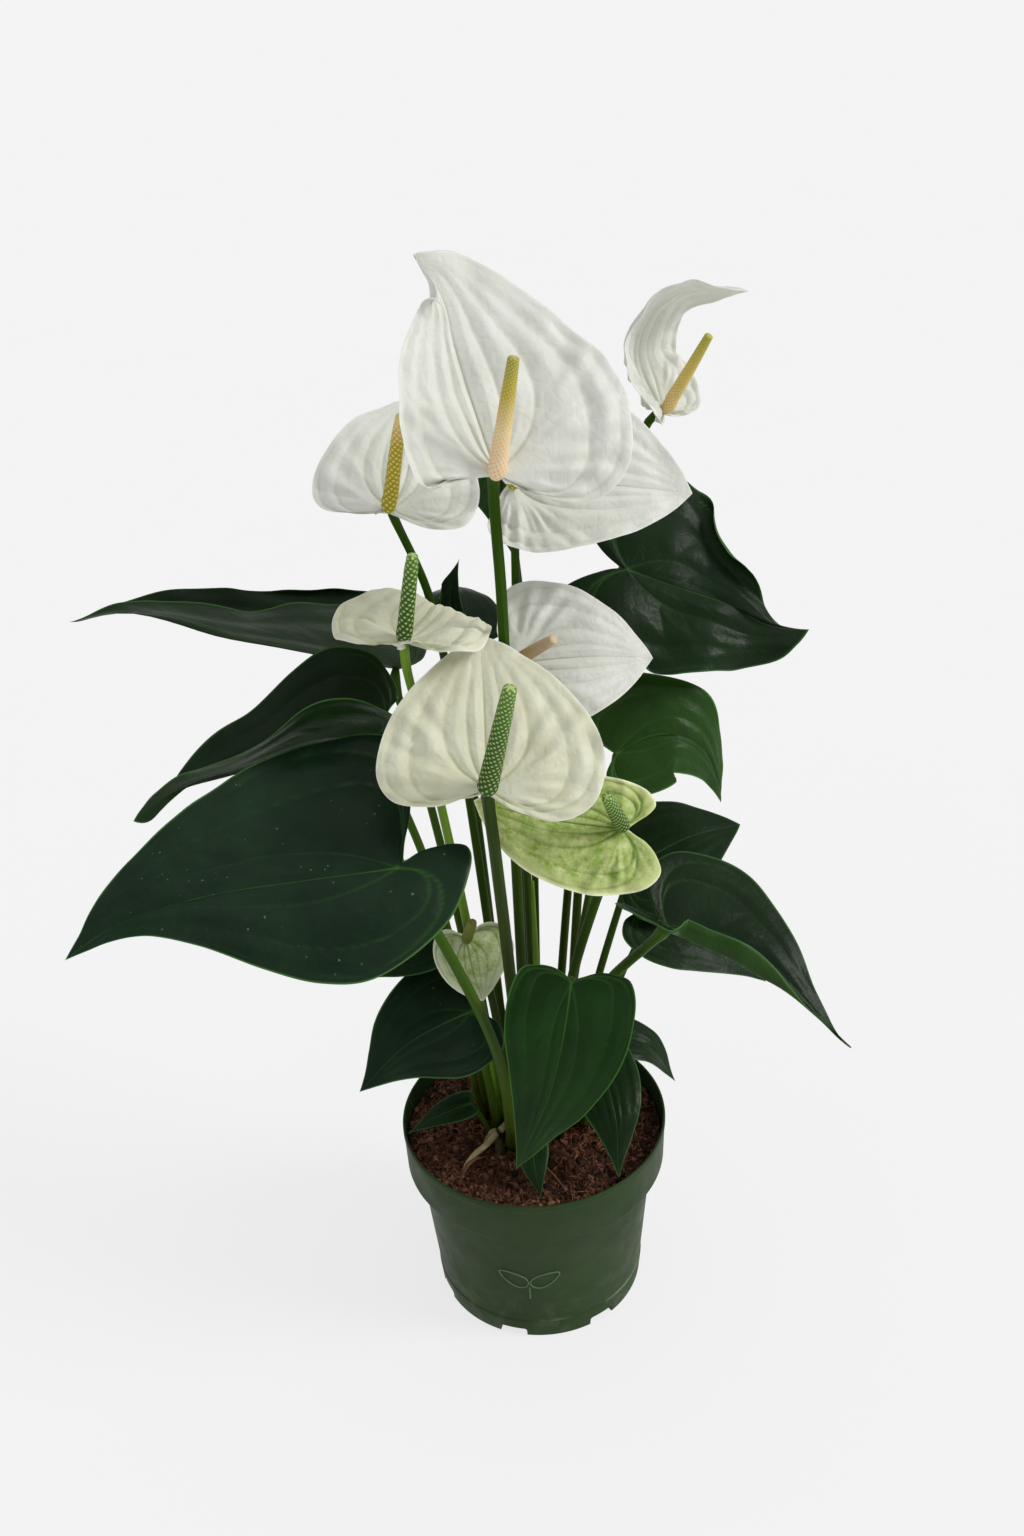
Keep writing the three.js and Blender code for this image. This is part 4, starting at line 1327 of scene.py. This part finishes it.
stem = [on_wall(SPROUT_X, z) for z in np.linspace(38 * MM, SPROUT_Z, 9)]
lines = [np.array(line) for line in (sprout_leaf(1), sprout_leaf(-1), stem)]
rods = [tube_mesh(tube_points(line, np.full(len(line), ROD_RADIUS), 6)) for line in lines]
put_piece("pot_sprout_mark", *joined(rods), [mark_plastic], "pot", [])
print("sprout mark made")

# %% [markdown]
# ## The mix
#
# Coir mix is crumbs, chips and hair-like fibres. One rough sheet alone would look like mud, so
# we lay a lumpy bed and scatter a few thousand crumbs and fibres over it. Each crumb has its
# own tone, so that no two neighbours match.

# %% The bed of mix
BED_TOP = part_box("potting_mix")[1].z - 1.6 * MM
BED_RADIUS = RIM - 1.2 * MM - WALL - 0.4 * MM
BED_DEPTH = 12 * MM
BED_RINGS, BED_SIDES = 58, 190


def bed_height(x, y):
    """The lumpy surface of the mix."""
    height = BED_TOP
    for size, depth in ((24, 3.0), (8, 2.4), (3.2, 1.4)):
        height += depth * MM * noise.noise(Vector((x / (size * MM), y / (size * MM), size)))
    return height


def mound(middle, radii, sides, height, peak, bottom):
    """A round heap with a height for each x, y and share of the radius, and a flat bottom."""
    points = []
    turns = np.linspace(0, 2 * np.pi, sides, endpoint=False)
    for r, share in zip(radii, np.linspace(0, 1, len(radii) + 1)[1:]):
        for turn in turns:
            x, y = middle[0] + r * math.cos(turn), middle[1] + r * math.sin(turn)
            points.append((x, y, height(x, y, share)))
    points += [(x, y, bottom) for x, y, _ in points[-sides:]]
    rows = np.arange(len(points)).reshape(-1, sides)
    points += [(*middle, peak), (*middle, bottom)]
    return points, closed_faces(rows, len(points) - 2, len(points) - 1, False)


points, faces = mound(
    (0, 0),
    np.linspace(0, BED_RADIUS, BED_RINGS)[1:],
    BED_SIDES,
    lambda x, y, share: bed_height(x, y),
    bed_height(0, 0),
    BED_TOP - BED_DEPTH,
)
tones = np.array([0.25 + 0.5 * noise.noise(Vector((x * 260, y * 260, 5))) for x, y, _ in points])
tones[-BED_SIDES - 2 :] = 0
tones = [("tone", np.clip(tones, 0, 1))]
put_piece("mix_bed", points, faces, [coir], "potting_mix", ["potting_mix"], tones)
print("bed of mix:", len(faces), "faces")

# %% Crumbs
CRUMBS = 4200
seeded = np.random.default_rng(17)


def random_turn():
    axis = Vector(seeded.normal(size=3)).normalized()
    return np.array(Matrix.Rotation(seeded.uniform(0, 2 * math.pi), 3, axis))


def random_spot():
    r = BED_RADIUS * 0.985 * math.sqrt(seeded.uniform())
    turn = seeded.uniform(0, 2 * math.pi)
    return r * math.cos(turn), r * math.sin(turn)


web = bmesh.new()
bmesh.ops.create_icosphere(web, subdivisions=1, radius=1)
ball = np.array([v.co for v in web.verts])
ball_faces = [tuple(v.index for v in f.verts) for f in web.faces]
web.free()

crumbs, tones = [], []
for _ in range(CRUMBS):
    x, y = random_spot()
    size = (0.6 + 2.0 * seeded.uniform() ** 2.5) * MM
    shape = ball * seeded.uniform(0.5, 1.25, size=3)
    shape = shape * (1 + 0.25 * seeded.normal(size=(len(ball), 1)))
    middle = [x, y, bed_height(x, y) + 0.35 * size]
    crumbs.append((shape @ random_turn().T * size + middle, ball_faces))
    tones += [seeded.uniform() ** 2] * len(ball)
points, faces = joined(crumbs)
put_piece("mix_crumbs", points, faces, [coir], "potting_mix", [], [("tone", tones)], flat=True)
print(CRUMBS, "crumbs laid")

# %% Fibres
FIBRES = 2200
FIBRE_KNOTS = 7

fibres, tones = [], []
for _ in range(FIBRES):
    x, y = random_spot()
    length = seeded.uniform(4, 15) * MM
    turn = seeded.uniform(0, 2 * math.pi)
    bend = seeded.normal() * 1.6
    t = np.linspace(-0.5, 0.5, FIBRE_KNOTS)
    headings = turn + bend * t
    xs = x + np.cumsum(np.cos(headings)) * length / FIBRE_KNOTS
    ys = y + np.cumsum(np.sin(headings)) * length / FIBRE_KNOTS
    keep = np.minimum(1, (BED_RADIUS - 0.6 * MM) / np.maximum(np.hypot(xs, ys), MM))
    xs, ys = xs * keep, ys * keep
    arch = seeded.uniform(0.2, 2.0) * MM
    zs = [bed_height(a, b) + 0.5 * MM + arch * math.cos(math.pi * s) for a, b, s in zip(xs, ys, t)]
    radii = np.full(FIBRE_KNOTS, seeded.uniform(0.15, 0.45) * MM)
    fibres.append(tube_mesh(tube_points(np.stack([xs, ys, zs], axis=1), radii, 4)))
    tones += [seeded.uniform(0.1, 1.0)] * len(fibres[-1][0])
points, faces = joined(fibres)
put_piece("mix_fibres", points, faces, [coir], "potting_mix", [], [("tone", tones)])
print(FIBRES, "fibres laid,", len(faces), "faces")

# %% [markdown]
# ## Crown, sheath and roots
#
# All stalks come out of a short, rough crown that sits on the mix, and a few thick roots leave it
# through the air before they dive in. The CAD crown has its roots joined on, so we find them
# as what reaches out past the crown's own edge.

# %% The crown
crown_points, _, _ = welded("crown")
crown_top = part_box("crown")[1].z
on_top = crown_points[crown_points[:, 2] > crown_top - 0.2 * MM]
crown_middle = (on_top.max(axis=0) + on_top.min(axis=0)) / 2
CROWN_RADIUS = (on_top[:, 0].max() - on_top[:, 0].min()) / 2
CROWN_PEAK = crown_top - 0.8 * MM


def crown_height(x, y, share):
    """Knuckly on top, and rounded down at the edge."""
    bump = 1.6 * MM * noise.noise(Vector((x * 130, y * 130, 2.0)))
    return CROWN_PEAK + bump - 9 * MM * share**6


def patchy_tones(points, scale):
    tones = [0.5 + 0.5 * noise.noise(Vector(p) * scale) for p in points]
    return [("tone", np.clip(tones, 0, 1))]


crown_radii = CROWN_RADIUS * np.linspace(0, 1, 30)[1:] * 0.98
points, faces = mound(
    crown_middle[:2], crown_radii, 110, crown_height, CROWN_PEAK, BED_TOP - 4 * MM
)
tones = patchy_tones(points, 300)
put_piece("crown_stem", points, faces, [stem_base], "crown", ["crown"], tones)
print("crown, radius", round(CROWN_RADIUS / MM, 1), "mm")

# %% The roots in the air
ROOT_STEPS = 40


def root_points(tip, number):
    """Points along a root from inside the crown, with two slight bends, down into the mix."""
    way = tip - crown_middle
    way[2] = 0
    way /= np.linalg.norm(way)
    start = crown_middle + way * CROWN_RADIUS * 0.62 + [0, 0, 5 * MM]
    side = np.array([-way[1], way[0], 0])
    knots = np.array(
        [
            start,
            0.6 * start + 0.4 * tip + side * 1.2 * MM + [0, 0, 1.5 * MM],
            0.25 * start + 0.75 * tip - side * 0.8 * MM + [0, 0, 0.6 * MM],
            tip,
            tip + way * 3 * MM - [0, 0, 6 * MM],
        ]
    )
    spots = length_along(knots)
    places = np.linspace(0, spots[-1], ROOT_STEPS)
    knobbly = np.array([noise.noise(Vector((s * 160, number, 0))) for s in places])
    thin = np.linspace(2.2, 1.4, ROOT_STEPS) * MM * (1 + 0.08 * knobbly)
    return tube_points(curve_through(knots, spots, places), thin, 14)


away = crown_points[:, :2] - crown_middle[:2]
outside = crown_points[np.hypot(*away.T) > CROWN_RADIUS + 1.5 * MM]
bearing = np.arctan2(outside[:, 1] - crown_middle[1], outside[:, 0] - crown_middle[0])
order = np.argsort(bearing)
gaps = np.where(np.diff(bearing[order]) > math.radians(7))[0] + 1
for number, group in enumerate(np.split(order, gaps), 1):
    far = np.hypot(*(outside[group][:, :2] - crown_middle[:2]).T)
    tip = outside[group][np.argsort(far)[-9:]].mean(axis=0)
    points, faces = tube_mesh(root_points(tip, number))
    tones = patchy_tones(points, 400)
    put_piece(f"aerial_root_{number}", points, faces, [root_skin], "crown", [], tones)
print("crown and", number, "roots made, the last one ending at", tip.round(3))

# %% [markdown]
# New leaves come wrapped in a sheath. The green one still stands between the stalks, a long
# pointed blade rolled round them. Old ones dry up at the foot of the stalks, red-brown.

# %% Sheaths
SHEATH_STREAKS = (4, 20)
SHEATH_STEPS = 46


def make_sheath(name, centres, radii, finish, slot, stands_for, squash, seed):
    spots = length_along(centres)
    places = np.linspace(0, spots[-1], SHEATH_STEPS)
    line, radius = curve_through(centres, spots, places), np.interp(places, spots, radii)
    settings = SHEATH_STREAKS, seed, squash, ("along", "tone")
    streaked_tube(name, line, radius, places, finish, slot, stands_for, *settings)


centres, radii = tube_line("leaf_sheath", STALK_SIDES)
make_sheath(
    "green_sheath", centres, radii * 1.25, pale_stalk, "young_stalk", ["leaf_sheath"], 0.55, 3.0
)

DRY_SHEATHS = [  # bearing in degrees, distance from the crown's middle and length in millimetres
    (-48, 30, 34),
    (-58, 28, 24),
    (-25, 30, 26),
    (-128, 22, 20),
]
dry_radii = np.array([2.6, 2.4, 0.3]) * MM
for number, (turn, reach, tall) in enumerate(DRY_SHEATHS, 1):
    way = np.array([math.cos(math.radians(turn)), math.sin(math.radians(turn)), 0])
    foot = crown_middle + way * reach * MM
    foot[2] = crown_top
    tip = foot + way * tall * MM
    tip[2] = bed_height(tip[0], tip[1]) + 1.2 * MM
    bent = np.array([foot, foot + way * tall * 0.45 * MM + [0, 0, 2.5 * MM], tip])
    make_sheath(f"dry_sheath_{number}", bent, dry_radii, dry_sheath, "crown", [], 0.35, number)
print("sheaths made")

# %% [markdown]
# ## Floor, light and camera
#
# The plant stands on a plain pale floor under a soft sky. A lit studio floor is nearly white, but
# a floor that white throws so much light up that the leaves turn grey. So this one is a dark grey
# that glows by itself. A broad sun from the right gives the faint shadow on the left and
# shows the relief of the spathes. The sky is bright at the horizon, which the camera sees, dim
# above it, and bright again overhead, where the glossy leaves mirror it.

# %% The floor
FLOOR_HALF = 200.0
FLOOR_GLOW = 0.75
floor_mesh = bpy.data.meshes.new("floor")
corners = [(x * FLOOR_HALF, y * FLOOR_HALF, 0) for x, y in ((-1, -1), (1, -1), (1, 1), (-1, 1))]
floor_mesh.from_pydata(corners, [], [(0, 1, 2, 3)])
floor = put_in_scene("floor", floor_mesh)
floor_mesh.materials.append(
    new_finish(
        "floor_paint",
        lambda m: blend(m, speckle(m, in_space(m), 3.0), colour("#6f6f6f"), colour("#727272")),
        0.9,
        [],
        Specular_IOR_Level=0.0,
        Emission_Color=(1, 1, 1, 1),
        Emission_Strength=FLOOR_GLOW,
    )
)
print("floor laid")

# %% Sun and sky
sun_data = bpy.data.lights.new("sun", "SUN")
sun_data.energy = 1.75
sun_data.angle = math.radians(22)
sun_data.color = (1.0, 0.985, 0.96)
sun = put_in_scene("sun", sun_data)
SUN_WAY = Vector((-0.9, 0.2, -0.68))
sun.rotation_euler = SUN_WAY.to_track_quat("-Z", "Y").to_euler()

SKY_LEVELS = ((0.0, 0.88), (0.1, 0.85), (0.28, 0.28), (0.6, 0.42), (1.0, 0.95))
world = bpy.data.worlds.new("soft_sky")
bpy.context.scene.world = world
world.use_nodes = True
place = add_node(world, "TexCoord").outputs["Generated"]
rise = add_node(world, "SeparateXYZ", {0: place}).outputs["Z"]
tone = add_node(world, "ValToRGB", {"Fac": rise})
set_ramp(tone, [(at, (level * 0.985, level, level * 1.02, 1)) for at, level in SKY_LEVELS])
background = world.node_tree.nodes["Background"]
plug(world, background.inputs["Color"], tone.outputs["Color"])
background.inputs["Strength"].default_value = 1.0
bpy.context.scene.view_settings.view_transform = "Standard"
print("sun and sky set")

# %% [markdown]
# The camera looks down at the plant from a little above its top, through a moderately wide lens.

# %% Camera
CAMERA_PLACE = (0, -0.743, 0.792)
YAW, PITCH, ROLL = (math.radians(a) for a in (-0.2, 28.7, -2.94))

lens = bpy.data.cameras.new("camera")
lens.lens = 35
lens.sensor_width = 36
lens.sensor_fit = "AUTO"
lens.clip_end = 1000
camera = put_in_scene("camera", lens)
forward = Vector(
    (math.sin(YAW) * math.cos(PITCH), math.cos(YAW) * math.cos(PITCH), -math.sin(PITCH))
)
right = Vector((math.cos(YAW), -math.sin(YAW), 0))
above = right.cross(forward)
tilted_right = math.cos(ROLL) * right + math.sin(ROLL) * above
tilted_up = math.cos(ROLL) * above - math.sin(ROLL) * right
turn = Matrix((tilted_right, tilted_up, -forward)).transposed().to_4x4()
camera.matrix_world = Matrix.Translation(CAMERA_PLACE) @ turn
bpy.context.scene.camera = camera
print("camera set at", CAMERA_PLACE)
